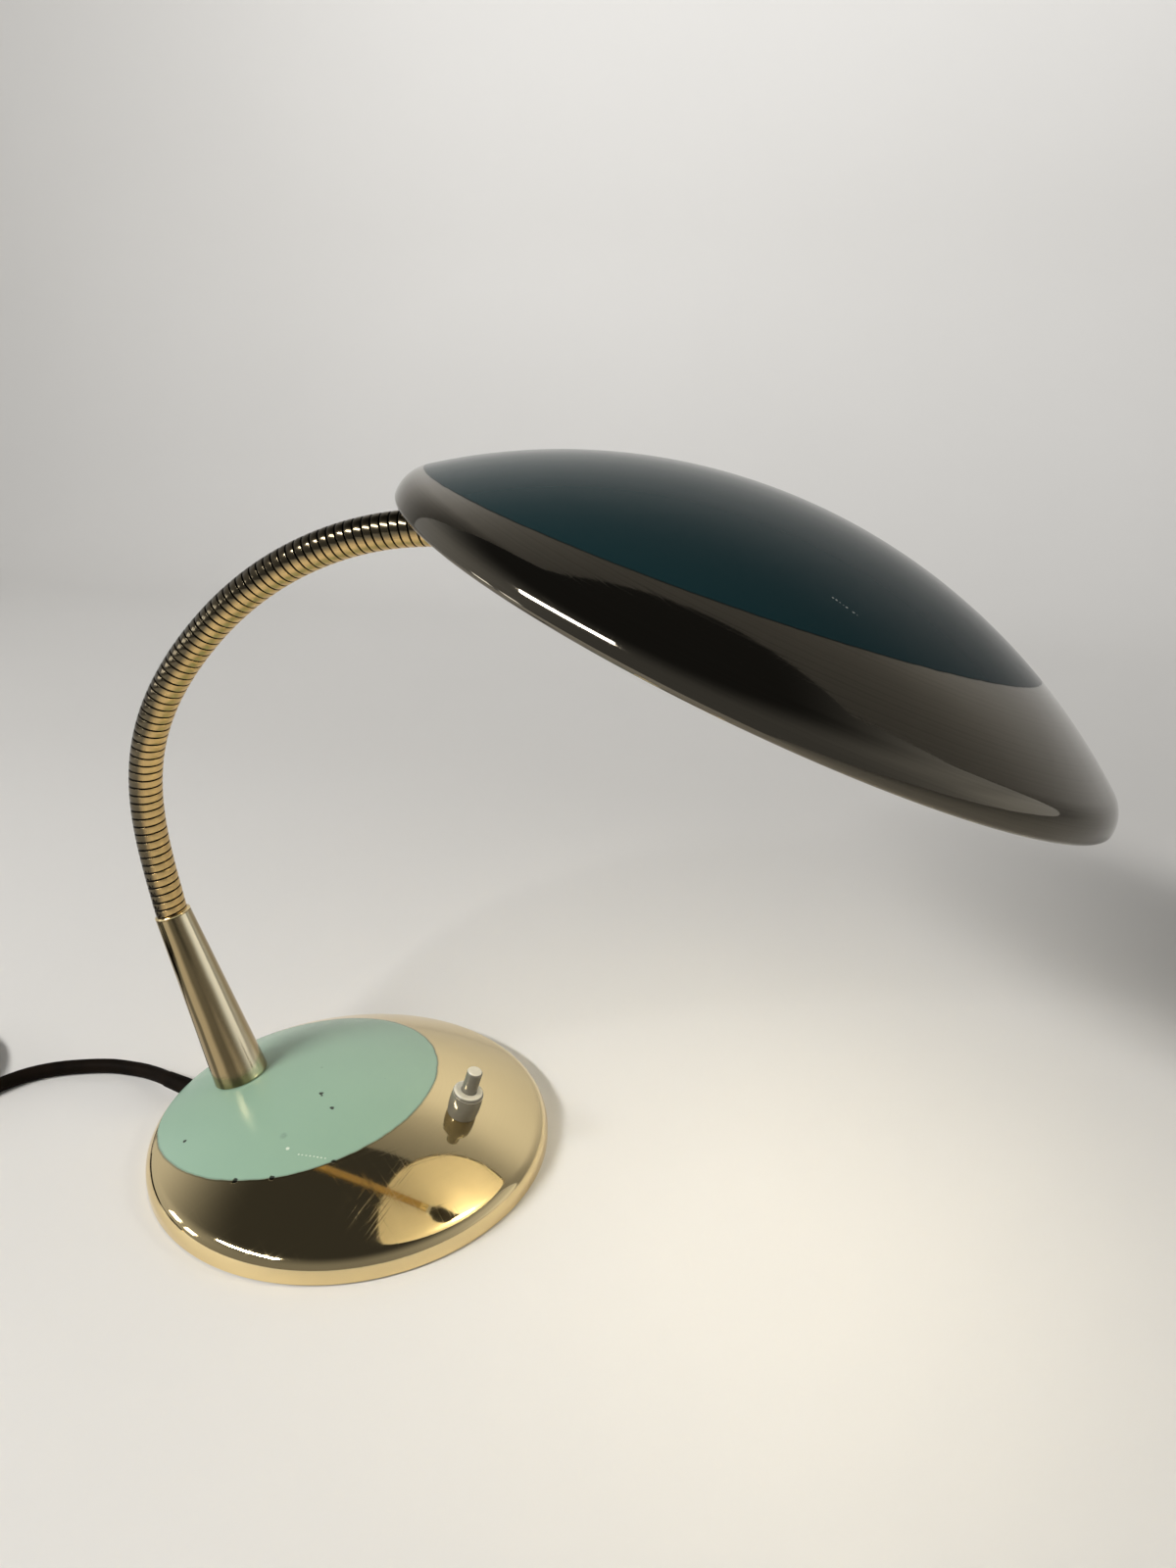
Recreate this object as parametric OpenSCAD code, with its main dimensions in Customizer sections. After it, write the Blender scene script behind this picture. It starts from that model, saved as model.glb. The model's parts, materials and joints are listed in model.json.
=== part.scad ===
// Gooseneck desk lamp: a domed base, a tapered stem, a flexible neck and a wide spun shade.
// Millimetres. The origin is the centre of the base's underside, +X points to the shade, +Z is up.

/* [Base] */
// Diameter of the base
base_d = 170; // [162:1:190]
// Height of the dome's top above the table
base_h = 31; // [29:0.5:34]
// Radius of the dome's rounded edge
base_edge_r = 9; // [8:0.5:10]
// Height at which the upright rim ends and the rounded edge starts
base_rim_h = 3.5; // [3:0.25:4.5]
// Gap between the table and the rim of the shell
rim_gap = 0.8; // [0.4:0.1:1.2]
// Sheet thickness of the base shell
base_wall = 1; // [0.8:0.1:1.2]
// Thickness of the felt under the base
felt_t = 1.6; // [1.4:0.1:1.8]
// Thickness of the steel bottom plate
plate_t = 1; // [0.8:0.1:1.1]
// Height of the cast weight
weight_h = 9; // [7:0.5:9.5]
// Gap between the edge of the weight and the rim of the shell
weight_gap = 12; // [11:0.5:16]
// Distance from the weight's edge to the screws of the bottom plate
plate_screw_inset = 10; // [7:1:13]
// Diameter of the plate screws
plate_screw_d = 4; // [3:0.5:5]

/* [Stem] */
// Distance from the rim of the base to the stem
stem_inset = 33; // [30:1:36]
// Length of the stem, from the dome to the first turn's seat
stem_len = 80.5; // [60:0.5:110]
// Outer diameter of the stem's sleeve at the dome
stem_foot_d = 23.5; // [21:0.5:28]
// Outer diameter of the stem's sleeve at its mouth
stem_mouth_d = 14.8; // [14.4:0.1:17]
// Sheet thickness of the sleeve
stem_wall = 0.8; // [0.6:0.1:0.9]
// Radius of the sleeve's rounded foot
stem_foot_round = 0.75; // [0.65:0.05:0.9]
// Diameter of the threaded rod in the stem
rod_d = 10; // [9.5:0.25:10.5]
// Bore of the threaded rod
rod_bore_d = 7; // [6:0.25:7.5]

/* [Neck] */
// Length of the flexible neck
neck_len = 297.6; // [280:0.8:310]
// Outer diameter over the turns of the neck
neck_d = 13; // [12.6:0.1:13.4]
// Depth of the groove between two turns
turn_depth = 1.1; // [1:0.05:1.2]
// Wall of the neck under its grooves
neck_wall = 0.65; // [0.6:0.05:0.8]
// Gap between two turns of the same link
turn_gap = 0.4; // [0.3:0.05:0.6]
// Turns in each link
turns = 5; // [4:1:6]
// Gap between the turns of one link and the next
link_gap = 1.8; // [1.7:0.05:2]
// Bore through the neck
neck_bore_d = 6; // [5.2:0.1:6.2]
// Diameter of the flex in the neck
flex_d = 4.6; // [3.6:0.1:4.8]

/* [Shade] */
// Diameter of the shade
shade_d = 249; // [220:1:270]
// Height of the shade's dome above its rim
shade_h = 47.6; // [45:0.2:52]
// Radius of the shade's rounded edge
shade_edge_r = 11.1; // [9:0.1:13]
// Sheet thickness of the shade
shade_wall = 0.8; // [0.6:0.1:1]
// Radius of the bead rolled into the shade's rim
rim_bead_r = 1.6; // [1.3:0.1:2]
// Distance from the end of the neck to the centre of the shade
shade_reach = 58; // [50:1:66]
// Height of the neck's end over the plane of the rim
shade_drop = 2.7; // [1:0.1:6]
// Nose-down tilt of the shade against the end of the neck
shade_pitch = 3.5; // [0:0.5:8]
// Sideways tilt of the shade about the end of the neck
shade_roll = 6.5; // [-10:0.5:10]
// Thickness of the strap that carries the shade
strap_t = 1.5; // [1.2:0.1:2]
// Width of the strap
strap_w = 16; // [15:0.5:20]

/* [Switch] */
// Distance from the rim of the base to the switch
switch_inset = 34; // [31:1:37]
// Diameter of the collar
collar_d = 13.6; // [13:0.1:16]
// Height of the collar
collar_h = 12; // [11:0.5:14]
// Diameter of the button
button_d = 6.5; // [6:0.1:6.8]
// Height of the button above its collar
button_h = 10.5; // [7:0.5:12]
// Travel of the button
button_travel = 3.5; // [2.5:0.25:3.5]

/* [Lamp holder and bulb] */
// Outer diameter of the lamp holder
holder_d = 28; // [26:0.5:30]
// Diameter of the bulb's glass
bulb_d = 45; // [40:0.5:46]
// Length of the bulb with its cap
bulb_len = 78; // [74:0.5:82]
// Diameter of the bulb's screw cap
bulb_cap_d = 13.9; // [13.8:0.05:14]

/* [Cord] */
// Diameter of the mains cord
cord_d = 6.6; // [6:0.1:6.8]
// Diameter of the round sleeve where the cord leaves the base
relief_d = 7.8; // [7.6:0.1:8]
// Length of that sleeve outside the base
relief_len = 12; // [8:0.5:12]
// Length of the plug's pins
pin_len = 19; // [18:0.5:20]
// Diameter of the plug's pins
pin_d = 4; // [3.8:0.1:4.2]

/* [Hidden] */
$fn = 96;

BRASS = "#c8a860";
DARK_BRASS = "#9c8048";
MINT = "#8fb8a2";
TEAL = "#173a40";
STEEL = "#a8a8a4";
IRON = "#4a4a4a";
IVORY = "#ece6d6";
BLACK = "#1c1a18";

// Clearances: a drilled hole round its shaft, a seat, and a part that runs free
hole_fit = 0.1;
seat = 0.05;
free = 0.3;
// A cut runs this far past what it cuts
past = 1;

// The dome is a ball's cap that meets its rounded edge without a corner
function cap_radius(r, edge, rim, h) =
    (pow(r - edge, 2) + pow(rim - h, 2) - edge * edge) / (2 * (h - rim - edge));
stem_offset = base_d / 2 - stem_inset;
switch_offset = base_d / 2 - switch_inset;
dome_r = cap_radius(base_d / 2, base_edge_r, base_rim_h, base_h);
shade_cap_r = cap_radius(shade_d / 2, shade_edge_r, 0, shade_h);

function dome_z(x) = base_h - dome_r + sqrt(dome_r * dome_r - x * x);
function dome_lean(x) = asin(x / dome_r);
// How far a dome of radius r falls away at a distance d from the point it is measured from
function sag(r, d) = r - sqrt(r * r - d * d);

// Half the section of a dome: rim, rounded edge and cap, filled down to the height low
module dome_face(r, edge, rim, h, low) {
    ball_r = cap_radius(r, edge, rim, h);
    ball_z = h - ball_r;
    lean = atan2(r - edge, rim - ball_z);
    meet = [ball_r * sin(lean), ball_z + ball_r * cos(lean)];
    intersection() {
        translate([0, ball_z]) circle(ball_r, $fn = 4 * $fn);
        translate([0, meet[1]]) square([meet[0], h]);
    }
    intersection() {
        translate([r - edge, rim]) circle(edge);
        translate([r - edge, rim]) square(edge + past);
    }
    polygon([[0, low], [r, low], [r, rim], [r - edge, rim], meet, [0, meet[1]]]);
}

// A washer, a hexagon nut, and a pan-head screw whose head sits on the plane z = 0
module washer(inner_d, outer_d, t) {
    difference() {
        cylinder(d = outer_d, h = t);
        translate([0, 0, -past]) cylinder(d = inner_d, h = t + 2 * past);
    }
}

module hex_nut(inner_d, across, t) {
    difference() {
        cylinder(d = across / cos(30), h = t, $fn = 6);
        translate([0, 0, -past]) cylinder(d = inner_d, h = t + 2 * past);
    }
}

module pan_screw(d, len, head_h) {
    slot_w = d / 5;
    difference() {
        union() {
            translate([0, 0, -len]) cylinder(d = d, h = len + seat);
            cylinder(d = 1.8 * d, h = head_h);
        }
        translate([-d, -slot_w / 2, head_h / 2]) cube([2 * d, slot_w, head_h]);
    }
}

// A round tube along a list of points, with a flat end at each end
function unit(v) = v / norm(v);
function heading(p, i) = unit(p[min(i + 1, len(p) - 1)] - p[max(i - 1, 0)]);
function ring(p, i, r, n, side) =
    let (t = heading(p, i), s = unit(cross(side, t)), u = cross(t, s))
    [for (k = [0:n - 1]) p[i] + r * (cos(360 * k / n) * s + sin(360 * k / n) * u)];
module tube(p, d, n, side = [0, 0, 1]) {
    last = len(p) - 1;
    points = [for (i = [0:last]) each ring(p, i, d / 2, n, side)];
    walls = [for (i = [0:last - 1], k = [0:n - 1])
        let (a = i * n + k, b = i * n + (k + 1) % n) each [[a, a + n, b + n], [a, b + n, b]]];
    ends = [[for (k = [0:n - 1]) k], [for (k = [n - 1:-1:0]) last * n + k]];
    polyhedron(points = points, faces = concat(walls, ends));
}

// ---------------------------------------------------------------- base

plate_top = felt_t + plate_t;
weight_top = plate_top + weight_h;
weight_d = base_d - 2 * base_wall - 2 * weight_gap;
plate_screw_offset = weight_d / 2 - plate_screw_inset;
plate_d = base_d - 2 * base_wall - 2 * free;
felt_d = plate_d - 2;
head_room_d = 2.6 * plate_screw_d;
head_h = 1.2;

// Puts a thing on the dome at a distance x along X, standing square to its surface
module on_dome(x) {
    translate([x, 0, dome_z(x)]) rotate([0, dome_lean(x), 0]) children();
}

// The cord leaves the back of the rim at this angle round the base, height and heading
exit_angle = 176.5;
exit_heading = 166;
exit_h = plate_top + relief_d / 2 + seat;
exit_r = base_d / 2 - base_edge_r + sqrt(pow(base_edge_r, 2) - pow(exit_h - base_rim_h, 2));
exit_point = [exit_r * cos(exit_angle), exit_r * sin(exit_angle), exit_h];
exit_way = [cos(exit_heading), sin(exit_heading), 0];

// Puts a thing in the cord's hole, its X axis pointing out of the base
module at_exit() {
    translate(exit_point) rotate([0, 0, exit_heading]) children();
}

module base_shell() {
    color(BRASS) difference() {
        rotate_extrude() difference() {
            dome_face(base_d / 2, base_edge_r, base_rim_h, base_h, rim_gap);
            dome_face(base_d / 2 - base_wall, base_edge_r - base_wall, base_rim_h,
                base_h - base_wall, rim_gap - past);
        }
        on_dome(-stem_offset) cylinder(d = rod_d + 2 * hole_fit, h = 8 * base_wall, center = true);
        on_dome(switch_offset) cylinder(d = bush_d + 2 * hole_fit, h = 8 * base_wall, center = true);
        at_exit() rotate([0, 90, 0])
            cylinder(d = relief_d + 2 * hole_fit, h = 2 * base_edge_r, center = true);
    }
}

// The cord's channel through the weight, and the well for the terminals
channel_w = cord_d + 2.4;
channel_in = exit_point - 13 * exit_way;
clamp_x = -(stem_offset + 20) / 2;
channel = [[channel_in[0], channel_in[1]], [-stem_offset - 14.5, -1.5], [-stem_offset - 9.5, -12],
    [-stem_offset, -18.5], [clamp_x, -18], [clamp_x + 14, -12], [-8, -4]];
well_d = 38;
slot_w = 9;
slot_top = plate_top + 6.9;
pocket_d = 20;
switch_room_d = 24;

module channel_cut() {
    translate([0, 0, plate_top - past]) linear_extrude(weight_h + 2 * past)
        for (i = [0:len(channel) - 2]) {
            along = channel[i + 1] - channel[i];
            translate(channel[i]) circle(d = channel_w + 2 * free);
            translate(channel[i]) rotate(atan2(along[1], along[0]))
                translate([0, -channel_w / 2]) square([norm(along), channel_w]);
        }
}

boss_d = 24;
boss_low = 8;
module base_weight() {
    color(IRON) difference() {
        union() {
            translate([0, 0, plate_top]) cylinder(d = weight_d, h = weight_h);
            // The boss under the stem rises to the inside of the dome
            intersection() {
                on_dome(-stem_offset) translate([0, 0, -boss_low - 2]) cylinder(d = boss_d, h = boss_low + 2);
                translate([0, 0, base_h - dome_r]) sphere(dome_r - base_wall - seat, $fn = 4 * $fn);
                translate([-base_d, -base_d, plate_top]) cube([2 * base_d, 2 * base_d, base_h]);
            }
        }
        on_dome(-stem_offset) translate([0, 0, -base_h]) cylinder(d = rod_d + 2 * hole_fit, h = 2 * base_h);
        on_dome(-stem_offset) translate([0, 0, -boss_low - base_h]) cylinder(d = pocket_d, h = base_h);
        on_dome(switch_offset) translate([0, 0, -base_h]) cylinder(d = switch_room_d, h = 2 * base_h);
        translate([0, 0, -past]) cylinder(d = well_d, h = base_h);
        translate([-stem_offset + pocket_d / 2 - 2, -slot_w / 2, -past])
            cube([stem_offset + switch_offset - pocket_d / 2, slot_w, slot_top + past]);
        channel_cut();
        plate_screw_places() translate([0, 0, -past])
            cylinder(d = plate_screw_d + 2 * seat, h = plate_screw_len + past);
        clamp_screw_places() translate([0, 0, -clamp_screw_len - seat])
            cylinder(d = clamp_screw_d + 2 * seat, h = clamp_screw_len + past);
    }
}

plate_screw_len = 7;
module plate_screw_places() {
    for (turn = [60, 180 + 30, 300]) rotate([0, 0, turn]) translate([plate_screw_offset, 0, felt_t]) children();
}

module bottom_plate() {
    color(STEEL) difference() {
        translate([0, 0, felt_t]) cylinder(d = plate_d, h = plate_t);
        plate_screw_places() cylinder(d = plate_screw_d + 2 * hole_fit, h = 4 * plate_t, center = true);
    }
}

module felt_pad() {
    color("#23332a") difference() {
        cylinder(d = felt_d, h = felt_t);
        plate_screw_places() cylinder(d = head_room_d, h = 4 * felt_t, center = true);
    }
}

module plate_screws() {
    color(STEEL) plate_screw_places() mirror([0, 0, 1]) pan_screw(plate_screw_d, plate_screw_len - 0.5, head_h);
}

module strain_relief() {
    tail_x = -11;
    collar_x = -9.5;
    collar_t = 2;
    color(BLACK) at_exit() rotate([0, 90, 0]) difference() {
        union() {
            // The collar inside the shell is flat where it stands on the bottom plate
            intersection() {
                translate([0, 0, collar_x]) cylinder(d = relief_d + 1.2, h = collar_t);
                translate([-relief_d, -relief_d, collar_x]) cube([1.5 * relief_d, 2 * relief_d, collar_t]);
            }
            translate([0, 0, tail_x]) cylinder(d = relief_d, h = 2 - tail_x);
            translate([0, 0, 2]) cylinder(d1 = relief_d, d2 = cord_d + 0.6, h = relief_len - 2);
        }
        translate([0, 0, tail_x - past]) cylinder(d = cord_d + 2 * seat, h = relief_len - tail_x + 2 * past);
    }
}

// The clamp bridges the channel where the lead ends, pressing on it from above
clamp_at = channel[4];
clamp_l = 24;
clamp_w = 9;
clamp_t = 1.5;
clamp_screw_d = 3;
clamp_screw_len = 6;
clamp_pitch = 16;
lead_z = exit_h;
module at_clamp() {
    translate([clamp_at[0], clamp_at[1], weight_top]) rotate([0, 0, 8]) children();
}
module clamp_screw_places() {
    for (s = [-1, 1]) at_clamp() translate([0, s * clamp_pitch / 2, 0]) children();
}

module cord_clamp() {
    saddle_h = weight_top - lead_z - cord_d / 2 - seat;
    saddle_l = 4;
    color(STEEL) difference() {
        union() {
            at_clamp() translate([-clamp_w / 2, -clamp_l / 2, 0]) cube([clamp_w, clamp_l, clamp_t]);
            at_clamp() translate([-saddle_l / 2, -channel_w / 2 + 2 * free, -saddle_h])
                cube([saddle_l, channel_w - 4 * free, saddle_h + clamp_t / 2]);
        }
        clamp_screw_places() cylinder(d = clamp_screw_d + 2 * hole_fit, h = 4 * clamp_t, center = true);
    }
}

module clamp_screws() {
    color(BRASS) clamp_screw_places() translate([0, 0, clamp_t])
        pan_screw(clamp_screw_d, clamp_screw_len + clamp_t - 1, 1.6);
}

// A two-way terminal block stands in the well on the bottom plate
block_l = 20;
block_w = 17;
block_h = 13;
way = 8;
way_d = 4.6;
way_z = plate_top + 6;
module terminal_block() {
    color(IVORY) difference() {
        translate([-block_l / 2, -block_w / 2, plate_top]) cube([block_l, block_w, block_h]);
        for (s = [-1, 1]) translate([0, s * way / 2, way_z]) {
            rotate([0, 90, 0]) cylinder(d = way_d + 2 * seat, h = block_l + 2 * past, center = true);
            for (e = [-1, 1]) translate([e * 5, 0, 0]) cylinder(d = 3, h = block_h);
        }
    }
}

module terminal_tubes() {
    wall = 0.9;
    color(BRASS) for (s = [-1, 1]) translate([-8, s * way / 2, way_z]) rotate([0, 90, 0])
        washer(way_d - 2 * wall, way_d, 16);
}

// The lead inside the base, its two cores and the wire back from the switch
lead_end = [clamp_x + 11, -13.4, lead_z];
lead_way = unit([lead_end[0] - channel[4][0], lead_end[1] - channel[4][1], 0]);
core_d = 2.2;
module lead_inside() {
    route = concat([exit_point, exit_point - 12 * exit_way],
        [for (i = [1:4]) [channel[i][0], channel[i][1], lead_z]], [lead_end]);
    color(BLACK) tube(route, cord_d, 10);
}

tab_drop = 15;
module lead_cores() {
    way_in = -block_l / 2 + 2;
    side = [-lead_way[1], lead_way[0], 0];
    start = lead_end + seat * lead_way;
    color("#3a6ea5") tube([start + 1.3 * side, start + 1.3 * side + 2 * lead_way, [-17.5, -7.5, way_z - 0.6],
        [-14, -5, way_z], [way_in, -way / 2, way_z]], core_d, 8);
    color("#6b4226") tube([start - 1.3 * side, start - 1.3 * side + 2 * lead_way, [-16.5, -10.6, 5.6],
        [-12, -11, 4.8], [0, -11.6, 4.6], [11, -10.3, 4.6], [16, -3.2, 4.6], [switch_offset - 27, -2.6, 4.6],
        [switch_offset - 17, -2.6, 4.6], switch_tab(-1)], core_d, 8);
}

module switch_wire() {
    color("#6b4226") tube([[block_l / 2 - 2, way / 2, way_z], [15, 3.6, 7], [switch_offset - 27, 2.4, 5],
        [switch_offset - 17, 2.4, 5], switch_tab(1)], core_d, 8);
}

// ---------------------------------------------------------------- stem

sleeve_z = seat - sag(dome_r, stem_foot_d / 2 - 2 * stem_foot_round);
flange_t = 1.2;
mouth_z = stem_len - flange_t;

module stem_sleeve() {
    foot_r = stem_foot_d / 2;
    mouth_r = stem_mouth_d / 2;
    color(BRASS) on_dome(-stem_offset) rotate_extrude() difference() {
        union() {
            polygon([[0, sleeve_z + stem_foot_round], [foot_r, sleeve_z + stem_foot_round],
                [mouth_r, mouth_z], [0, mouth_z]]);
            translate([foot_r - stem_foot_round, sleeve_z + stem_foot_round]) circle(stem_foot_round);
            translate([0, sleeve_z]) square([foot_r - stem_foot_round, 2 * stem_foot_round]);
        }
        polygon([[-past, sleeve_z - past], [foot_r - 2 * stem_foot_round, sleeve_z - past],
            [foot_r - 2 * stem_foot_round, sleeve_z + stem_foot_round],
            [mouth_r - stem_wall, mouth_z - mouth_inner_h], [mouth_r - stem_wall, mouth_z + past],
            [-past, mouth_z + past]]);
    }
}

rod_tail = boss_low + 6;
mouth_inner_h = 14;
rod_top = mouth_z - 4;
module stem_rod() {
    color(STEEL) on_dome(-stem_offset) translate([0, 0, -rod_tail])
        washer(rod_bore_d, rod_d, rod_tail + rod_top);
}

module stem_washer() {
    color(STEEL) on_dome(-stem_offset) translate([0, 0, -boss_low - 1.2])
        washer(rod_d + 2 * hole_fit, 18, 1.2);
}

module stem_nut() {
    color(STEEL) on_dome(-stem_offset) translate([0, 0, -boss_low - 1.2 - 4])
        hex_nut(rod_d + 2 * seat, 14, 4);
}

// The neck's foot screws onto the rod and pulls the sleeve down onto the dome
module neck_foot() {
    color(BRASS) on_dome(-stem_offset) rotate_extrude() difference() {
        union() {
            translate([0, mouth_z - mouth_inner_h]) square([stem_mouth_d / 2 - stem_wall - seat, mouth_inner_h + flange_t]);
            translate([0, mouth_z]) square([stem_mouth_d / 2 + 0.1, flange_t]);
            ball_face(stem_len + link_gap / 2);
        }
        translate([-past, mouth_z - mouth_inner_h - past]) square([neck_bore_d / 2 + past, 3 * mouth_inner_h]);
        translate([-past, mouth_z - mouth_inner_h - past])
            square([rod_d / 2 + seat + past, mouth_inner_h + past - 4 + 2 * seat]);
    }
}

// ---------------------------------------------------------------- neck

LINKS = 16;
link_len = neck_len / LINKS;
// Bend at each joint, from the stem to the shade, in degrees
neck_bends = [8, 3.5, 7, 11, 12, 10, 7, 6, 7, 7.5, 7.5, 8, 8.5, 3, 9, 11];

// Turns are crowned bands on a thin wall; each link ends in a ball that the next one turns on
turn_pitch = (link_len - link_gap) / turns;
crown_r = 4;
groove_r = neck_d / 2 - turn_depth;
socket_r = groove_r - neck_wall;
ball_r = socket_r - free;
ball_top = sqrt(pow(ball_r, 2) - pow(neck_bore_d / 2 + 0.6, 2));

// A ball's half section round the height z, cut off where its wall gets thin
module ball_face(z) {
    intersection() {
        translate([0, z]) circle(ball_r);
        translate([0, z - ball_r]) square([ball_r, ball_r + ball_top]);
    }
}

// Section of one turn
module band_face() {
    band_w = turn_pitch - turn_gap;
    intersection() {
        translate([neck_d / 2 - crown_r, 0]) circle(crown_r);
        translate([groove_r - neck_wall / 2, -band_w / 2]) square([turn_depth + neck_wall, band_w]);
    }
}

module neck_link() {
    half_gap = link_gap / 2;
    rotate_extrude() difference() {
        union() {
            translate([0, half_gap + turn_gap / 2]) square([groove_r, link_len - link_gap - turn_gap]);
            for (i = [0:turns - 1]) translate([0, half_gap + (i + 0.5) * turn_pitch]) band_face();
            ball_face(link_len);
        }
        translate([-past, -past]) square([neck_bore_d / 2 + past, 2 * link_len]);
        translate([-past, -past]) square([socket_r + past, ball_r + free + past]);
    }
}

// Direction of each link above the horizontal, and the place of each joint
function bends_to(k) = k == 0 ? 0 : neck_bends[k - 1] + bends_to(k - 1);
function link_angle(k) = 90 + dome_lean(stem_offset) - bends_to(k);
function link_way(k) = [cos(link_angle(k)), 0, sin(link_angle(k))];
stem_root = [-stem_offset, 0, dome_z(stem_offset)];
function joint_at(k) = k == 0 ? stem_root + (stem_len + link_gap / 2) * link_way(0)
    : joint_at(k - 1) + link_len * link_way(k);
module at_link(k) {
    translate(joint_at(k - 1)) rotate([0, 90 - link_angle(k), 0]) children();
}
module link_number(k) {
    color(k % 2 == 0 ? BRASS : DARK_BRASS) at_link(k) neck_link();
}
module neck_link_01() { link_number(1); }
module neck_link_02() { link_number(2); }
module neck_link_03() { link_number(3); }
module neck_link_04() { link_number(4); }
module neck_link_05() { link_number(5); }
module neck_link_06() { link_number(6); }
module neck_link_07() { link_number(7); }
module neck_link_08() { link_number(8); }
module neck_link_09() { link_number(9); }
module neck_link_10() { link_number(10); }
module neck_link_11() { link_number(11); }
module neck_link_12() { link_number(12); }
module neck_link_13() { link_number(13); }
module neck_link_14() { link_number(14); }
module neck_link_15() { link_number(15); }
module neck_link_16() { link_number(16); }

// The flex runs from the terminals through the rod and every link to the lamp holder
module neck_flex() {
    rod_way = link_way(0);
    low = stem_root - (rod_tail + 1) * rod_way;
    way_in = -block_l / 2 + 2 - seat;
    route = concat([[way_in, way / 2, way_z], [way_in - 4, way / 2, way_z], [-17, 2, way_z - 1.4], [-22, 1.4, 5.9],
        [-stem_offset + 14, 0, 5.6], [-stem_offset + 7.5, 0, 6.4], low],
        [for (z = [0:20:stem_len - 10]) stem_root + z * rod_way],
        [for (k = [0:LINKS]) joint_at(k)],
        [joint_at(LINKS) + (holder_x + 9) * link_way(LINKS)]);
    color(BLACK) tube(route, flex_d, 8, [0, 1, 0]);
}

// ---------------------------------------------------------------- shade and its strap

// Puts a thing at the end of the neck, X along the lamp holder's axis and Z towards the shade
module at_neck_end() {
    translate(joint_at(LINKS)) rotate([0, -link_angle(LINKS), 0]) rotate([-shade_roll, 0, 0]) children();
}

// Puts a thing on the shade's axis, at the middle of the plane of its rim
module at_shade() {
    at_neck_end() rotate([0, shade_pitch, 0]) translate([shade_reach, 0, -shade_drop]) children();
}

ferrule_d = 14.4;
ferrule_len = 12;
stub_len = 16;
module neck_ferrule() {
    color(BRASS) at_neck_end() rotate([0, 90, 0]) rotate_extrude() difference() {
        union() {
            translate([0, link_gap / 2]) square([ferrule_d / 2, ferrule_len - link_gap / 2]);
            square([rod_d / 2, ferrule_len + stub_len]);
        }
        translate([-past, -past]) square([neck_bore_d / 2 + past, 2 * (ferrule_len + stub_len)]);
        translate([-past, -past]) square([socket_r + past, ball_r + free + past]);
    }
}

nut_t = 3;
module ferrule_nut() {
    color(STEEL) at_neck_end() translate([ferrule_len + seat + strap_t + seat, 0, 0]) rotate([0, 90, 0])
        hex_nut(rod_d + 2 * seat, 14, nut_t);
}

// The strap: an upright leg round the ferrule, a bend, and a leg along the inside of the shade
stud_d = 5;
stud_base_t = 6;
apex = shade_h - shade_wall;
strap_top = apex - stud_base_t - seat;
strap_bend_r = 6;
strap_end = 9;
neck_end = [-shade_reach, shade_drop];
holder_way = [cos(shade_pitch), sin(shade_pitch)];
up_way = [-sin(shade_pitch), cos(shade_pitch)];
eye = neck_end + (ferrule_len + seat + strap_t / 2) * holder_way;
corner = eye + (strap_top - strap_t / 2 - eye[1]) / cos(shade_pitch) * up_way;
bend_back = strap_bend_r * tan((90 + shade_pitch) / 2);
bend_centre = corner - bend_back * up_way + strap_bend_r * holder_way;
// One edge of the strap's side view, at a distance s outside its middle line
function strap_edge(s) = concat([eye - strap_end * up_way - s * holder_way],
    [for (i = [0:8]) let (a = 180 + shade_pitch - i / 8 * (90 + shade_pitch))
        bend_centre + (strap_bend_r + s) * [cos(a), sin(a)]],
    [[strap_end, strap_top - strap_t / 2 + s]]);
function backwards(p) = [for (i = [len(p) - 1:-1:0]) p[i]];

module shade_strap() {
    color(STEEL) difference() {
        at_shade() rotate([90, 0, 0]) linear_extrude(strap_w, center = true)
            polygon(concat(strap_edge(strap_t / 2), backwards(strap_edge(-strap_t / 2))));
        at_neck_end() rotate([0, 90, 0]) cylinder(d = rod_d + 2 * hole_fit, h = 2 * ferrule_len);
        at_shade() cylinder(d = stud_d + 2 * hole_fit, h = shade_h);
    }
}

module shade_stud() {
    color(STEEL) at_shade() {
        intersection() {
            translate([0, 0, apex - stud_base_t]) cylinder(d = 14, h = 2 * stud_base_t);
            translate([0, 0, shade_h - shade_cap_r]) sphere(shade_cap_r - shade_wall - seat, $fn = 4 * $fn);
        }
        translate([0, 0, apex - stud_base_t - 10]) cylinder(d = stud_d, h = 10 + seat);
    }
}

module shade_washer() {
    color(STEEL) at_shade() translate([0, 0, strap_top - strap_t - seat - 1])
        washer(stud_d + 2 * hole_fit, 12, 1);
}

module shade_nut() {
    color(STEEL) at_shade() translate([0, 0, strap_top - strap_t - 2 * seat - 1 - 4])
        hex_nut(stud_d + 2 * seat, 8, 4);
}

module shade() {
    color(TEAL) at_shade() rotate_extrude() {
        difference() {
            dome_face(shade_d / 2, shade_edge_r, 0, shade_h, -seat);
            dome_face(shade_d / 2 - shade_wall, shade_edge_r - shade_wall, 0, shade_h - shade_wall, -past);
        }
        translate([shade_d / 2 - rim_bead_r, 0]) circle(rim_bead_r);
    }
}

// ---------------------------------------------------------------- lamp holder and bulb

holder_x = ferrule_len + strap_t + nut_t + 4 * seat + 0.4;
cap_len = 18;
skirt_len = 31;
holder_wall = 1.5;
module at_holder() {
    at_neck_end() translate([holder_x, 0, 0]) rotate([0, 90, 0]) children();
}

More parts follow.
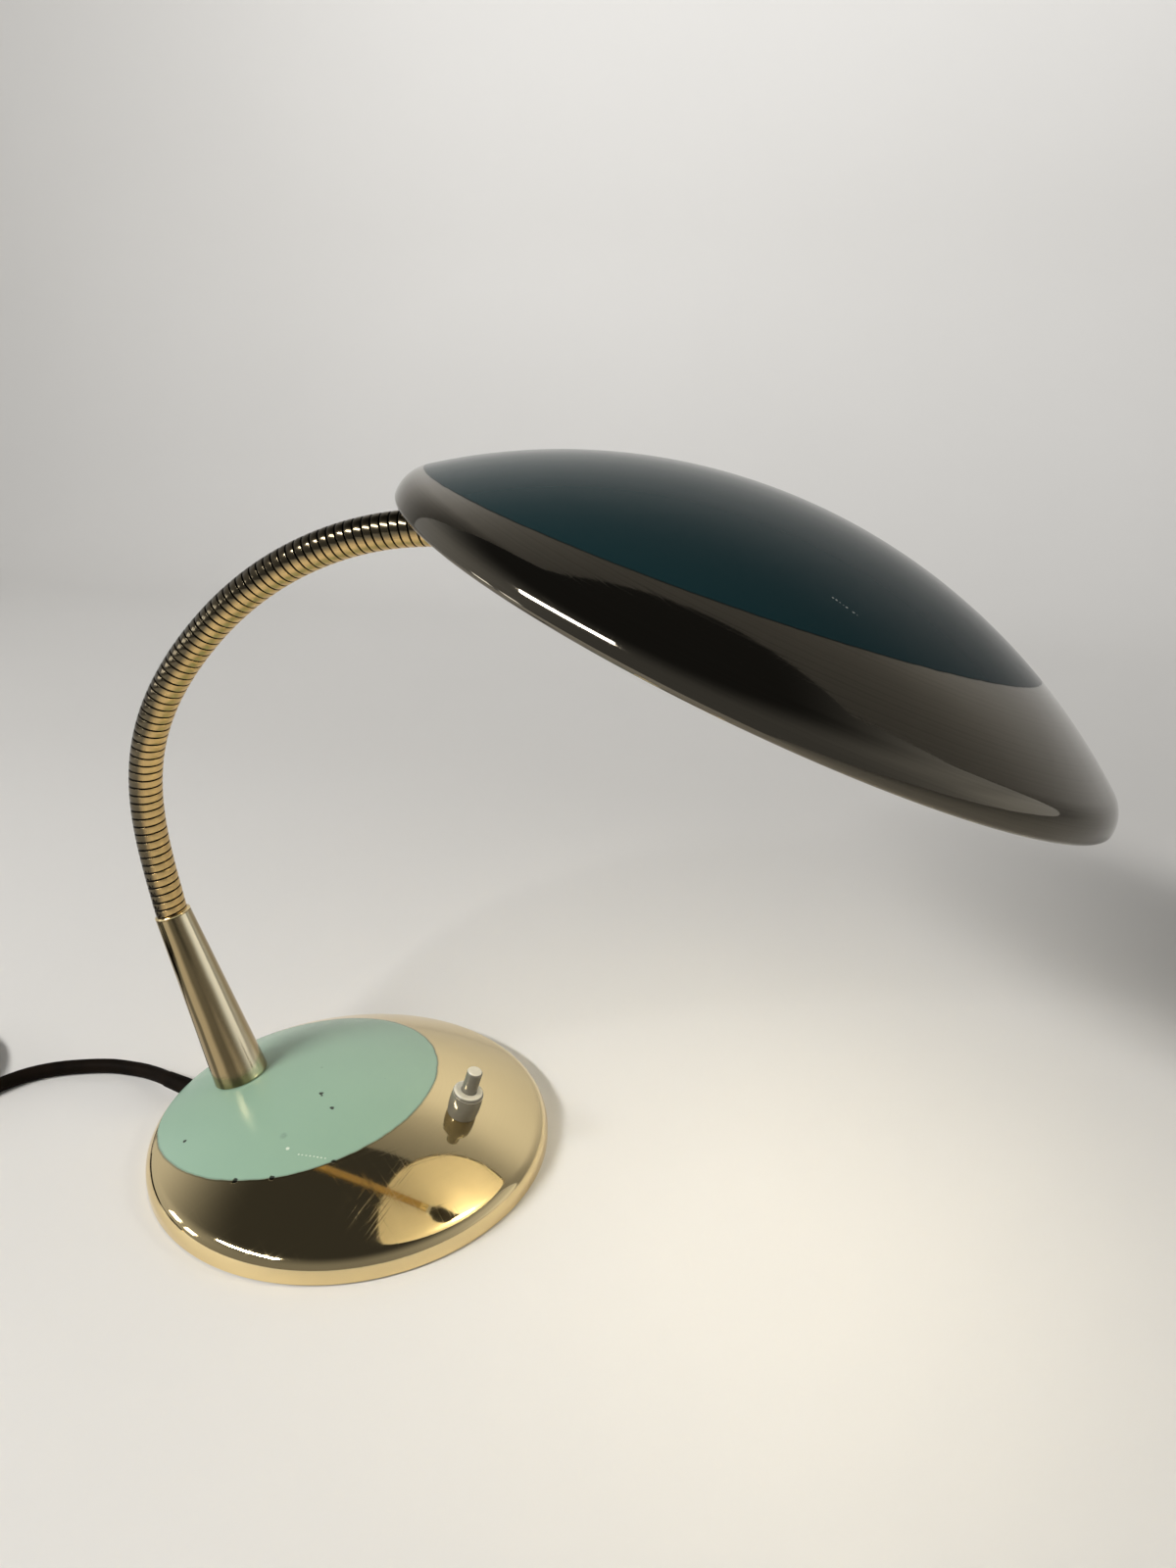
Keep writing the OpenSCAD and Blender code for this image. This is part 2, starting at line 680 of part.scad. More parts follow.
module holder_cap() {
    r = holder_d / 2 - 0.6;
    neck_r = 8;
    color(BLACK) at_holder() rotate_extrude() difference() {
        polygon([[0, 0], [neck_r, 0], [neck_r, 4], [r, 10], [r, cap_len], [0, cap_len]]);
        polygon([[-past, -past], [rod_d / 2 + seat, -past], [rod_d / 2 + seat, 5],
            [neck_r - 1, 5], [r - holder_wall, 11], [r - holder_wall, cap_len + past], [-past, cap_len + past]]);
    }
}

module holder_skirt() {
    r = holder_d / 2;
    lip = 1.2;
    color(BLACK) at_holder() translate([0, 0, cap_len + seat]) rotate_extrude() difference() {
        union() {
            square([r, skirt_len - lip]);
            translate([0, skirt_len - 2 * lip]) square([r - lip, 2 * lip]);
            translate([r - lip, skirt_len - lip]) circle(lip);
        }
        translate([-past, -past]) square([r - holder_wall + past, skirt_len - 2 + past]);
        translate([-past, -past]) square([r - 3 + past, skirt_len + 3 * past]);
    }
}

insert_x = 12;
insert_len = 13;
module holder_insert() {
    r = holder_d / 2 - 0.6 - holder_wall - hole_fit;
    color(IVORY) at_holder() difference() {
        translate([0, 0, insert_x]) cylinder(r = r, h = insert_len);
        for (s = [-1, 1]) translate([s * 8, 0, insert_x - past]) cylinder(d = 4, h = insert_len / 2);
    }
}

sleeve_len = 16;
module thread_sleeve() {
    color(BRASS) at_holder() translate([0, 0, insert_x + insert_len])
        washer(bulb_cap_d + 2 * free, bulb_cap_d + 2 * free + 1, sleeve_len);
}

contact_t = 1.6;
module centre_contact() {
    color(BRASS) at_holder() translate([0, 0, insert_x + insert_len]) cylinder(d = 5, h = contact_t);
}

// The bulb's screw cap ends in an insulated tip on the centre contact
bulb_x = insert_x + insert_len + contact_t + seat;
cap_top = 25;
module bulb_cap() {
    r = bulb_cap_d / 2;
    groove = 0.5;
    color(BRASS) at_holder() translate([0, 0, bulb_x]) rotate_extrude() {
        polygon([[0, 0], [2.4, 0], [2.4, 1], [r - 1.5, 3], [r - groove, 4], [r - groove, cap_top - 4],
            [r + 0.6, cap_top - 2], [r + 0.6, cap_top], [0, cap_top]]);
        for (i = [0:5]) translate([r - 2 * groove, 5 + 2.8 * i]) circle(2 * groove);
    }
}

module bulb_glass() {
    glass_t = 0.7;
    color([1, 0.96, 0.86, 0.6]) at_holder() translate([0, 0, bulb_x]) rotate_extrude() difference() {
        bulb_face(0);
        bulb_face(glass_t);
    }
}

// Half the section of the bulb, s inside its surface
module bulb_face(s) {
    r = bulb_d / 2;
    middle = bulb_len - r;
    throat_r = bulb_cap_d / 2 + 0.4;
    shoulder = 50;
    ball_r = r - s;
    ball_low = middle - ball_r * cos(shoulder);
    intersection() {
        translate([0, middle]) circle(ball_r);
        translate([0, ball_low]) square([r, 2 * r]);
    }
    polygon([[0, cap_top + seat + s], [throat_r - s, cap_top + seat + s], [throat_r - s, cap_top + 2],
        [ball_r * sin(shoulder), ball_low], [0, ball_low]]);
}

// ---------------------------------------------------------------- switch

bush_d = 10;
body_d = 19;
body_h = 12.5;
body_top = -base_wall - sag(dome_r - base_wall, body_d / 2) - seat;
chamber_low = body_top - body_h + 2.5;
shaft_low = -2;
flange_top = collar_h - 1.7;
flange_h = 1.2;
// The button's flange stops on the bush a little beyond its travel
bush_top = flange_top - flange_h - button_travel - 0.6;

module switch_body() {
    color(BLACK) on_dome(switch_offset) difference() {
        union() {
            translate([0, 0, body_top - body_h]) cylinder(d = body_d, h = body_h);
            cylinder(d = bush_d, h = 2 * bush_top, center = true);
            for (s = [-1, 1]) translate([-tab_x, s * 5 - 1.5, body_top - body_h - 2.5]) cube([1, 3, 4]);
        }
        translate([0, 0, chamber_low]) cylinder(d = button_d + 0.5, h = body_h + 2 * bush_top);
    }
}
tab_x = 3;
// Where a wire meets one of the switch's tabs, in the lamp's own frame
function switch_tab(s) = let (a = dome_lean(switch_offset), x = -tab_x - core_d / 2 - 0.2, z = body_top - body_h - 1.4)
    [switch_offset + x * cos(a) + z * sin(a), s * 5, dome_z(switch_offset) - x * sin(a) + z * cos(a)];

module switch_collar() {
    r = collar_d / 2;
    lip_r = 1.3;
    barrel = 0.35;
    barrel_r = 40;
    low = seat - sag(dome_r, bush_d / 2);
    color(IVORY) on_dome(switch_offset) rotate_extrude() difference() {
        union() {
            intersection() {
                translate([r - barrel_r, collar_h / 2]) circle(barrel_r, $fn = 4 * $fn);
                translate([0, low]) square([r, collar_h - 1.6 - low]);
            }
            translate([0, collar_h - 2 * lip_r]) square([r - lip_r - barrel, 2 * lip_r]);
            translate([r - lip_r - barrel, collar_h - lip_r]) circle(lip_r);
        }
        translate([-past, low - past]) square([bush_d / 2 + seat + past, flange_top + 0.1 - low + past]);
        translate([-past, low]) square([button_d / 2 + 0.15 + past, 2 * collar_h]);
    }
}

module switch_button() {
    r = button_d / 2;
    tip_r = 1;
    color(IVORY) on_dome(switch_offset) rotate_extrude() {
        translate([0, shaft_low]) square([r, collar_h + button_h - tip_r - shaft_low]);
        translate([0, collar_h]) square([r - tip_r, button_h]);
        translate([r - tip_r, collar_h + button_h - tip_r]) circle(tip_r);
        translate([0, flange_top - flange_h]) square([bush_d / 2 - 0.5, flange_h]);
    }
}

module switch_spring() {
    wire = 0.7;
    coils = 5;
    steps = 12;
    low = chamber_low + wire / 2 + seat;
    high = shaft_low - wire / 2 - seat;
    color(STEEL) on_dome(switch_offset) tube([for (i = [0:coils * steps]) let (a = 360 * i / steps)
        [2.4 * cos(a), 2.4 * sin(a), low + (high - low) * i / (coils * steps)]], wire, 6);
}

// ---------------------------------------------------------------- mains cord and plug

// The coil lies on the table: seven turns in two layers of four places each, with a tie round them
coil_centre = [-base_d / 2 - 146, -33];
coil_mean_r = 37;
coil_pitch = 6.8;
tie_t = 0.8;
coil_low = tie_t + 0.1;
coil_z = coil_low + cord_d / 2;
outer_turn_r = coil_mean_r + 1.5 * coil_pitch;
join_angle = -20;
function round_coil(r, a, z) = [coil_centre[0] + r * cos(a), coil_centre[1] + r * sin(a), z];
join_way = [sin(join_angle), -cos(join_angle), 0];

// Where the lead lies on the table: how far behind the base, how far to the side and how high
table_z = cord_d / 2 + 0.1;
lead_points = [[18, 11, 5.4], [27, 13.6, 4.3], [36.5, 14.8, table_z], [45, 14.2, table_z],
    [52.5, 12.3, table_z], [59.5, 9.8, table_z], [66, 7, table_z], [72.5, 3.2, table_z],
    [78.5, -1.8, table_z], [83.5, -8, table_z], [87.8, -15.5, table_z], [91.6, -24, table_z],
    [95, -32, table_z], [98.6, -41, table_z]];
function behind(p) = [-base_d / 2 - p[0], p[1], p[2]];

module cord_run() {
    route = concat([exit_point + 0.1 * exit_way, exit_point + 6 * exit_way, exit_point + (relief_len + 0.5) * exit_way],
        [for (p = lead_points) behind(p)], [round_coil(outer_turn_r, join_angle, coil_z)]);
    color(BLACK) tube(route, cord_d, 10);
}

coil_inner = outer_turn_r - 3 * coil_pitch - cord_d / 2;
coil_outer = outer_turn_r + cord_d / 2;
coil_top = coil_low + cord_d + coil_pitch;
module cord_coil() {
    round_r = cord_d / 2;
    color(BLACK) translate([coil_centre[0], coil_centre[1], 0]) rotate_extrude() {
        for (x = [coil_inner + round_r, coil_outer - round_r], z = [coil_low + round_r, coil_top - round_r])
            translate([x, z]) circle(round_r);
        translate([coil_inner + round_r, coil_low])
            square([coil_outer - coil_inner - 2 * round_r, coil_top - coil_low]);
        translate([coil_inner, coil_low + round_r])
            square([coil_outer - coil_inner, coil_top - coil_low - 2 * round_r]);
    }
}

module coil_tie() {
    inner = coil_inner - 0.1 - free;
    outer = coil_outer + 0.1;
    top = coil_top + 0.1;
    tie_w = 7;
    color(BLACK) translate([coil_centre[0], coil_centre[1], 0]) rotate([0, 0, 150]) difference() {
        translate([inner - tie_t, -tie_w / 2, 0]) cube([outer - inner + 2 * tie_t, tie_w, top + tie_t]);
        translate([inner, -tie_w, tie_t]) cube([outer - inner, 2 * tie_w, top - tie_t]);
    }
}

// The plug lies flat beside the coil; the cord comes to it over the coil's outer turn
plug_t = 14;
plug_w = 35;
plug_body_len = 36;
plug_tail_len = 22;
tail_run = 46;
pin_pitch = 18.6;
tail_root = round_coil(outer_turn_r, join_angle, 0);
module at_plug() {
    translate(tail_root + tail_run * join_way + [0, 0, plug_t / 2]) rotate([0, 0, join_angle - 90]) children();
}

module cord_tail() {
    top = coil_z + coil_pitch;
    low = plug_t / 2;
    drop = [[0, top], [8, top], [16, top - 0.4], [24, top - 1.8], [32, low + 0.8], [39, low], [tail_run, low]];
    color(BLACK) tube([for (p = drop) tail_root + p[0] * join_way + [0, 0, p[1]]], cord_d, 10);
}

module plug_body() {
    tip_round = 7;
    color(BLACK) at_plug() {
        rotate([0, 90, 0]) cylinder(d1 = cord_d + 1, d2 = 11, h = plug_tail_len + 2);
        translate([plug_tail_len, 0, -plug_t / 2]) linear_extrude(plug_t)
            polygon([[0, -7], [tip_round, -plug_w / 2], [plug_body_len - 3, -plug_w / 2],
                [plug_body_len, -plug_w / 2 + 3], [plug_body_len, plug_w / 2 - 3],
                [plug_body_len - 3, plug_w / 2], [tip_round, plug_w / 2], [0, 7]]);
    }
}

module plug_pins() {
    color(BRASS) at_plug() for (s = [-1, 1])
        translate([plug_tail_len + plug_body_len, s * pin_pitch / 2, 0]) rotate([0, 90, 0]) {
            cylinder(d = pin_d, h = pin_len - pin_d / 2);
            translate([0, 0, pin_len - pin_d / 2]) sphere(d = pin_d);
        }
}

// ---------------------------------------------------------------- one line for each node

base_shell();
base_weight();
bottom_plate();
felt_pad();
plate_screws();
strain_relief();
cord_clamp();
clamp_screws();
terminal_block();
terminal_tubes();
lead_inside();
lead_cores();
switch_wire();
stem_sleeve();
stem_rod();
stem_washer();
stem_nut();
neck_foot();
neck_flex();
switch_body();
switch_collar();
switch_spring();
switch_button();
cord_run();
cord_coil();
cord_tail();
coil_tie();
plug_body();
plug_pins();
neck_link_01();
neck_link_02();
neck_link_03();
neck_link_04();
neck_link_05();
neck_link_06();
neck_link_07();
neck_link_08();
neck_link_09();
neck_link_10();
neck_link_11();
neck_link_12();
neck_link_13();
neck_link_14();
neck_link_15();
neck_link_16();
neck_ferrule();
ferrule_nut();
shade_strap();
shade_stud();
shade_washer();
shade_nut();
shade();
holder_cap();
holder_skirt();
holder_insert();
thread_sleeve();
centre_contact();
bulb_cap();
bulb_glass();
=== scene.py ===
import math

import bpy
import numpy as np
from mathutils import Matrix, Vector
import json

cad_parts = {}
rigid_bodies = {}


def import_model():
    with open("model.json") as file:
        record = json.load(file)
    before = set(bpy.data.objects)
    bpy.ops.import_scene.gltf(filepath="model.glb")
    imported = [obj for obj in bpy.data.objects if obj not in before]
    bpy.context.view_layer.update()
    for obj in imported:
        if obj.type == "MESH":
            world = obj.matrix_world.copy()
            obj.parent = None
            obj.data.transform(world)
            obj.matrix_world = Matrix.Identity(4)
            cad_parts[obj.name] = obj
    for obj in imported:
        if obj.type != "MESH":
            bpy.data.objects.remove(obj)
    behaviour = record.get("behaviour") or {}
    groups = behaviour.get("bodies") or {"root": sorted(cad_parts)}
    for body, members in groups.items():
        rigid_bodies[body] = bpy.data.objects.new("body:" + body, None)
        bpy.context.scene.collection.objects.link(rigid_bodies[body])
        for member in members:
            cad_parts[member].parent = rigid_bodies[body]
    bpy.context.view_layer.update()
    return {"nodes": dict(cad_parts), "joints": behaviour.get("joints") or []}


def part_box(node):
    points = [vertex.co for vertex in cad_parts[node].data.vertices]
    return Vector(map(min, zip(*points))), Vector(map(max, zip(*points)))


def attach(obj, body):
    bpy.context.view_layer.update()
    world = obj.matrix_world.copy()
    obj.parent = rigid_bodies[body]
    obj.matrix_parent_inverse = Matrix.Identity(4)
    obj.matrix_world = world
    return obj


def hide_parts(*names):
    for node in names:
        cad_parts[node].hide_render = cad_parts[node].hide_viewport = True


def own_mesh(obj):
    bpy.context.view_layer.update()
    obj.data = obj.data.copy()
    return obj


for left_over in list(bpy.data.objects):
    bpy.data.objects.remove(left_over)
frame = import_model()

MM = 0.001
FULL_TURN = 2 * math.pi


# ---------------------------------------------------------------- sizes taken from the frame

base_low, base_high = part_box("base_shell")
BASE_R = (base_high.x - base_low.x) / 2
BASE_H = base_high.z
RIM_GAP = base_low.z
BASE_EDGE_R = 9 * MM
BASE_RIM_H = 3.5 * MM
SHEET = 1 * MM


def cap_radius(r, edge, rim, h):
    """Radius of a shell's cap that reaches height h and runs into its rounded edge without a corner."""
    return ((r - edge) ** 2 + (rim - h) ** 2 - edge * edge) / (2 * (h - rim - edge))


DOME_R = cap_radius(BASE_R, BASE_EDGE_R, BASE_RIM_H, BASE_H)
DOME_CENTRE = Vector((0, 0, BASE_H - DOME_R))

neck_joints = [Vector(j["pos_m"]) for j in frame["joints"] if j["name"].startswith("neck")]
NECK_LINKS = len(neck_joints)
LINK = (neck_joints[1] - neck_joints[0]).length
NECK_R = 6.5 * MM
LINK_GAP = 1.8 * MM
LAST_BEND = math.radians(11)


def heading(a, b):
    """Angle above the X axis of the line from a to b."""
    return math.atan2((b - a).z, (b - a).x)


def way_at(angle):
    """The way at an angle above the X axis."""
    return Vector((math.cos(angle), 0, math.sin(angle)))


link_headings = [heading(a, b) for a, b in zip(neck_joints, neck_joints[1:])]
link_headings.append(link_headings[-1] - LAST_BEND)
neck_joints.append(neck_joints[-1] + LINK * way_at(link_headings[-1]))
STEM_OFFSET = 52 * MM
STEM_LEAN = math.pi / 2 + math.asin(STEM_OFFSET / DOME_R)
stem_way = way_at(STEM_LEAN)
stem_frame = Matrix.Translation(DOME_CENTRE + DOME_R * stem_way) @ Matrix.Rotation(
    math.pi / 2 - STEM_LEAN, 4, "Y"
)

# The shade's own frame: its axis is Z, its X runs on from the neck
SHADE_ROLL = math.radians(-6.5)
SHADE_TILT = math.radians(3.5)
SHADE_REACH = (58 * MM, 0, -2.7 * MM)
neck_end = (
    Matrix.Translation(neck_joints[-1])
    @ Matrix.Rotation(-link_headings[-1], 4, "Y")
    @ Matrix.Rotation(SHADE_ROLL, 4, "X")
)
shade_frame = neck_end @ Matrix.Rotation(SHADE_TILT, 4, "Y") @ Matrix.Translation(SHADE_REACH)
SHADE_R = 124.5 * MM
SHADE_H = 47.6 * MM
SHADE_EDGE_R = 11.1 * MM
SHADE_SHEET = 0.8 * MM
SHADE_CAP_R = cap_radius(SHADE_R, SHADE_EDGE_R, 0, SHADE_H)


# ---------------------------------------------------------------- camera

CAMERA_PLACE = (0.19584, -0.36873, 0.32179)
CAMERA_ROLL = 0.01169
CAMERA_LENS = 25.875
camera = bpy.data.objects.new("camera", bpy.data.cameras.new("camera"))
bpy.context.scene.collection.objects.link(camera)
bpy.context.scene.camera = camera
look = Vector((-0.2259, 0.9062, -0.3576)).normalized()
level = Vector((0.9703, 0.2419, 0)).normalized()
side = (level - CAMERA_ROLL * look.cross(level)).normalized()
up = side.cross(look).normalized()
camera.matrix_world = Matrix.Translation(CAMERA_PLACE) @ Matrix(
    (
        (side.x, up.x, -look.x, 0),
        (side.y, up.y, -look.y, 0),
        (side.z, up.z, -look.z, 0),
        (0, 0, 0, 1),
    )
)
camera.data.sensor_width = 36
camera.data.lens = CAMERA_LENS
camera.data.clip_start = 0.01


# ---------------------------------------------------------------- meshes


def mesh_piece(name, points, faces, material, body, replaces=(), sharp=35):
    """A mesh piece that rides on a body and may stand for CAD nodes."""
    mesh = bpy.data.meshes.new(name)
    mesh.from_pydata([tuple(p) for p in points], [], [tuple(f) for f in faces])
    mesh.validate()
    mesh.update()
    mesh.polygons.foreach_set("use_smooth", [True] * len(mesh.polygons))
    mesh.set_sharp_from_angle(angle=math.radians(sharp))
    piece = bpy.data.objects.new(name, mesh)
    bpy.context.scene.collection.objects.link(piece)
    if material:
        mesh.materials.append(material)
    if body:
        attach(piece, body)
    if replaces:
        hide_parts(*replaces)
    return piece


def spaced(first, last, count):
    """So many numbers from first to last in even steps."""
    return [first + (last - first) * i / (count - 1) for i in range(count)]


def arc(centre, radius, start, end, steps):
    """Points of an arc in the plane of radius and height; angles from the axis."""
    return [
        (centre[0] + radius * math.sin(a), centre[1] + radius * math.cos(a))
        for a in spaced(start, end, steps)
    ]


def turned(profile, place, around):
    """Points and faces of a turned piece: profile is its closed section, a list of (radius, height)."""
    points, faces, rows = [], [], []
    for r, h in profile:
        if r < 1e-9:
            rows.append([len(points)] * around)
            points.append(place @ Vector((0, 0, h)))
        else:
            rows.append(list(range(len(points), len(points) + around)))
            for k in range(around):
                a = FULL_TURN * k / around
                points.append(place @ Vector((r * math.cos(a), r * math.sin(a), h)))
    for low, high in zip(rows, rows[1:] + rows[:1]):
        for k in range(around):
            n = (k + 1) % around
            corners = []
            for corner in (low[k], low[n], high[n], high[k]):
                if corner not in corners:
                    corners.append(corner)
            if len(corners) > 2:
                faces.append(corners)
    return points, faces


def dome_profile(r, edge, rim, h, cap_r, sheet, cap_steps, edge_steps):
    """Section of a spun shell: from its widest line over the outside, and back down the inside."""
    lean = math.atan2(r - edge, rim - (h - cap_r))
    outside = arc((r - edge, rim), edge, math.pi / 2, lean, edge_steps)
    outside += arc((0, h - cap_r), cap_r, lean, 0, cap_steps)[1:]
    inside = arc((0, h - cap_r), cap_r - sheet, 0, lean, cap_steps)
    inside += arc((r - edge, rim), edge - sheet, lean, math.pi / 2, edge_steps)[1:]
    return outside, inside


# ---------------------------------------------------------------- route of the cord

CORD_R = 3.3 * MM
CORD_AROUND = 16
cord_start = Vector((-84.31, 5.16, 6.55)) * MM
CORD_HEADING = math.radians(166)
cord_way = Vector((math.cos(CORD_HEADING), math.sin(CORD_HEADING), 0))
lead_points = [
    (-103, 11, 5.4), (-112, 13.6, 4.3), (-121.5, 14.8, 3.4), (-130, 14.2, 3.4),
    (-137.5, 12.3, 3.4), (-144.5, 9.8, 3.4), (-151, 7, 3.4), (-157.5, 3.2, 3.4),
    (-163.5, -1.8, 3.4), (-168.5, -8, 3.4), (-172.8, -15.5, 3.4), (-176.6, -24, 3.4),
    (-180, -32, 3.4), (-183.6, -41, 3.6),
]
COIL = Vector((-231, -33, 0)) * MM
TURN_PITCH = 6.8 * MM
LOW_Z, HIGH_Z = 4.2 * MM, 11 * MM
OUTER_TURN = 47.2 * MM
JOIN = math.radians(-20)
join_way = Vector((math.sin(JOIN), -math.cos(JOIN), 0))
# Degrees from where the lead joins: the coil steps in turn by turn, climbs to its upper layer and steps out
STEPS_IN = (300, 660, 1020)
CLIMB = 1320
STEPS_OUT = (1620, 1980, 2340)
STEP_ARC = 60
COIL_ARC, POINT_ARC = 2520, 15


def smooth(t):
    """Runs smoothly from 0 to 1 as t does."""
    t = min(max(t, 0), 1)
    return t * t * (3 - 2 * t)


def coil_point(turned_by):
    """Place in the coil after turning clockwise by so many degrees from where the lead joins."""
    r = OUTER_TURN
    for start in STEPS_IN:
        r -= TURN_PITCH * smooth((turned_by - start) / STEP_ARC)
    z = LOW_Z + (HIGH_Z - LOW_Z) * smooth((turned_by - CLIMB) / STEP_ARC)
    for start in STEPS_OUT:
        r += TURN_PITCH * smooth((turned_by - start) / STEP_ARC)
    a = JOIN - math.radians(turned_by)
    return COIL + Vector((r * math.cos(a), r * math.sin(a), z))


coil_points = [coil_point(POINT_ARC * k) for k in range(COIL_ARC // POINT_ARC + 1)]
tail_root = COIL + Vector((OUTER_TURN * math.cos(JOIN), OUTER_TURN * math.sin(JOIN), 0))
# How far the tail has run from the coil, and its height there, in millimetres
tail_drop = [(8, 11), (16, 10.6), (24, 9.2), (32, 7.8), (39, 7), (46, 7)]
tail_points = [tail_root + t * MM * join_way + Vector((0, 0, z * MM)) for t, z in tail_drop]
route = (
    [cord_start, cord_start + 6 * MM * cord_way, cord_start + 12.5 * MM * cord_way]
    + [Vector(p) * MM for p in lead_points]
    + coil_points
    + tail_points
)


def through(points, steps):
    """A smooth curve through points, with so many steps between two of them."""
    out = []
    p = [2 * points[0] - points[1]] + points + [2 * points[-1] - points[-2]]
    for i in range(1, len(p) - 2):
        for k in range(steps):
            t = k / steps
            a = 2 * p[i]
            b = p[i + 1] - p[i - 1]
            c = 2 * p[i - 1] - 5 * p[i] + 4 * p[i + 1] - p[i + 2]
            d = 3 * p[i] - p[i - 1] - 3 * p[i + 1] + p[i + 2]
            out.append((a + b * t + c * t * t + d * t * t * t) / 2)
    return out + [points[-1]]


def tube(path, radius, around):
    """A round tube along a path, carried along it without twist and closed at its ends."""
    points, faces = [], []
    across = Vector((0, 0, 1))
    for i, p in enumerate(path):
        along = (path[min(i + 1, len(path) - 1)] - path[max(i - 1, 0)]).normalized()
        across = (across - across.dot(along) * along).normalized()
        third = along.cross(across)
        for k in range(around):
            a = FULL_TURN * k / around
            points.append(p + radius * (math.cos(a) * across + math.sin(a) * third))
    for i in range(len(path) - 1):
        for k in range(around):
            n = (k + 1) % around
            faces.append((i * around + k, i * around + n, (i + 1) * around + n, (i + 1) * around + k))
    faces.append(tuple(reversed(range(around))))
    last = (len(path) - 1) * around
    faces.append(tuple(range(last, last + around)))
    return points, faces


cord_path = through(route, 2)
cord_length = sum((b - a).length for a, b in zip(cord_path, cord_path[1:]))
points, faces = tube(cord_path, CORD_R, CORD_AROUND)
mains_cord = mesh_piece(
    "mains_cord", points, faces, None, "base", ("cord_run", "cord_coil", "cord_tail")
)


# ---------------------------------------------------------------- finishes


class Value:
    """A number that may vary over a surface; arithmetic on it adds the nodes that work it out."""

    def __init__(self, finish, socket):
        self.finish, self.socket = finish, socket

    def math(self, operation, *others):
        return self.finish.node("ShaderNodeMath", {"operation": operation}, [self, *others])

    def __add__(self, other):
        return self.math("ADD", other)

    __radd__ = __add__

    def __mul__(self, other):
        return self.math("MULTIPLY", other)

    __rmul__ = __mul__

    def __sub__(self, other):
        return self.math("SUBTRACT", other)

    def __rsub__(self, other):
        return self * -1 + other

    def __abs__(self):
        return self.math("ABSOLUTE")

    def most(self, other):
        return self.math("MAXIMUM", other)

    def step(self, low, high, to_low=0.0, to_high=1.0):
        """Runs smoothly from to_low to to_high as the value goes from low to high."""
        return self.finish.node(
            "ShaderNodeMapRange",
            {"interpolation_type": "SMOOTHSTEP", "clamp": True},
            {"Value": self, "From Min": low, "From Max": high, "To Min": to_low, "To Max": to_high},
        )


class Nodes:
    """A tree of shader nodes with short ways to add to it."""

    def __init__(self, tree):
        self.tree = tree
        tree.nodes.clear()

    def node(self, kind, settings=None, values=(), output=0):
        """One node: its settings first, then the values or links of its sockets."""
        n = self.tree.nodes.new(kind)
        for key, value in (settings or {}).items():
            setattr(n, key, value)
        pairs = values.items() if isinstance(values, dict) else enumerate(values)
        for key, value in pairs:
            self.feed(n.inputs[key], value)
        return Value(self, n.outputs[output])

    def feed(self, socket, value):
        if isinstance(value, Value):
            self.tree.links.new(value.socket, socket)
        elif socket.type == "RGBA" and len(value) == 3:
            socket.default_value = (*value, 1)
        else:
            socket.default_value = value

    def mix(self, factor, a, b):
        """A colour between a and b."""
        return self.node("ShaderNodeMix", {"data_type": "RGBA"}, {0: factor, 6: a, 7: b}, output=2)

    def vector(self, operation, *values, output=0):
        """Vector maths on places, ways or distances."""
        return self.node("ShaderNodeVectorMath", {"operation": operation}, values, output)


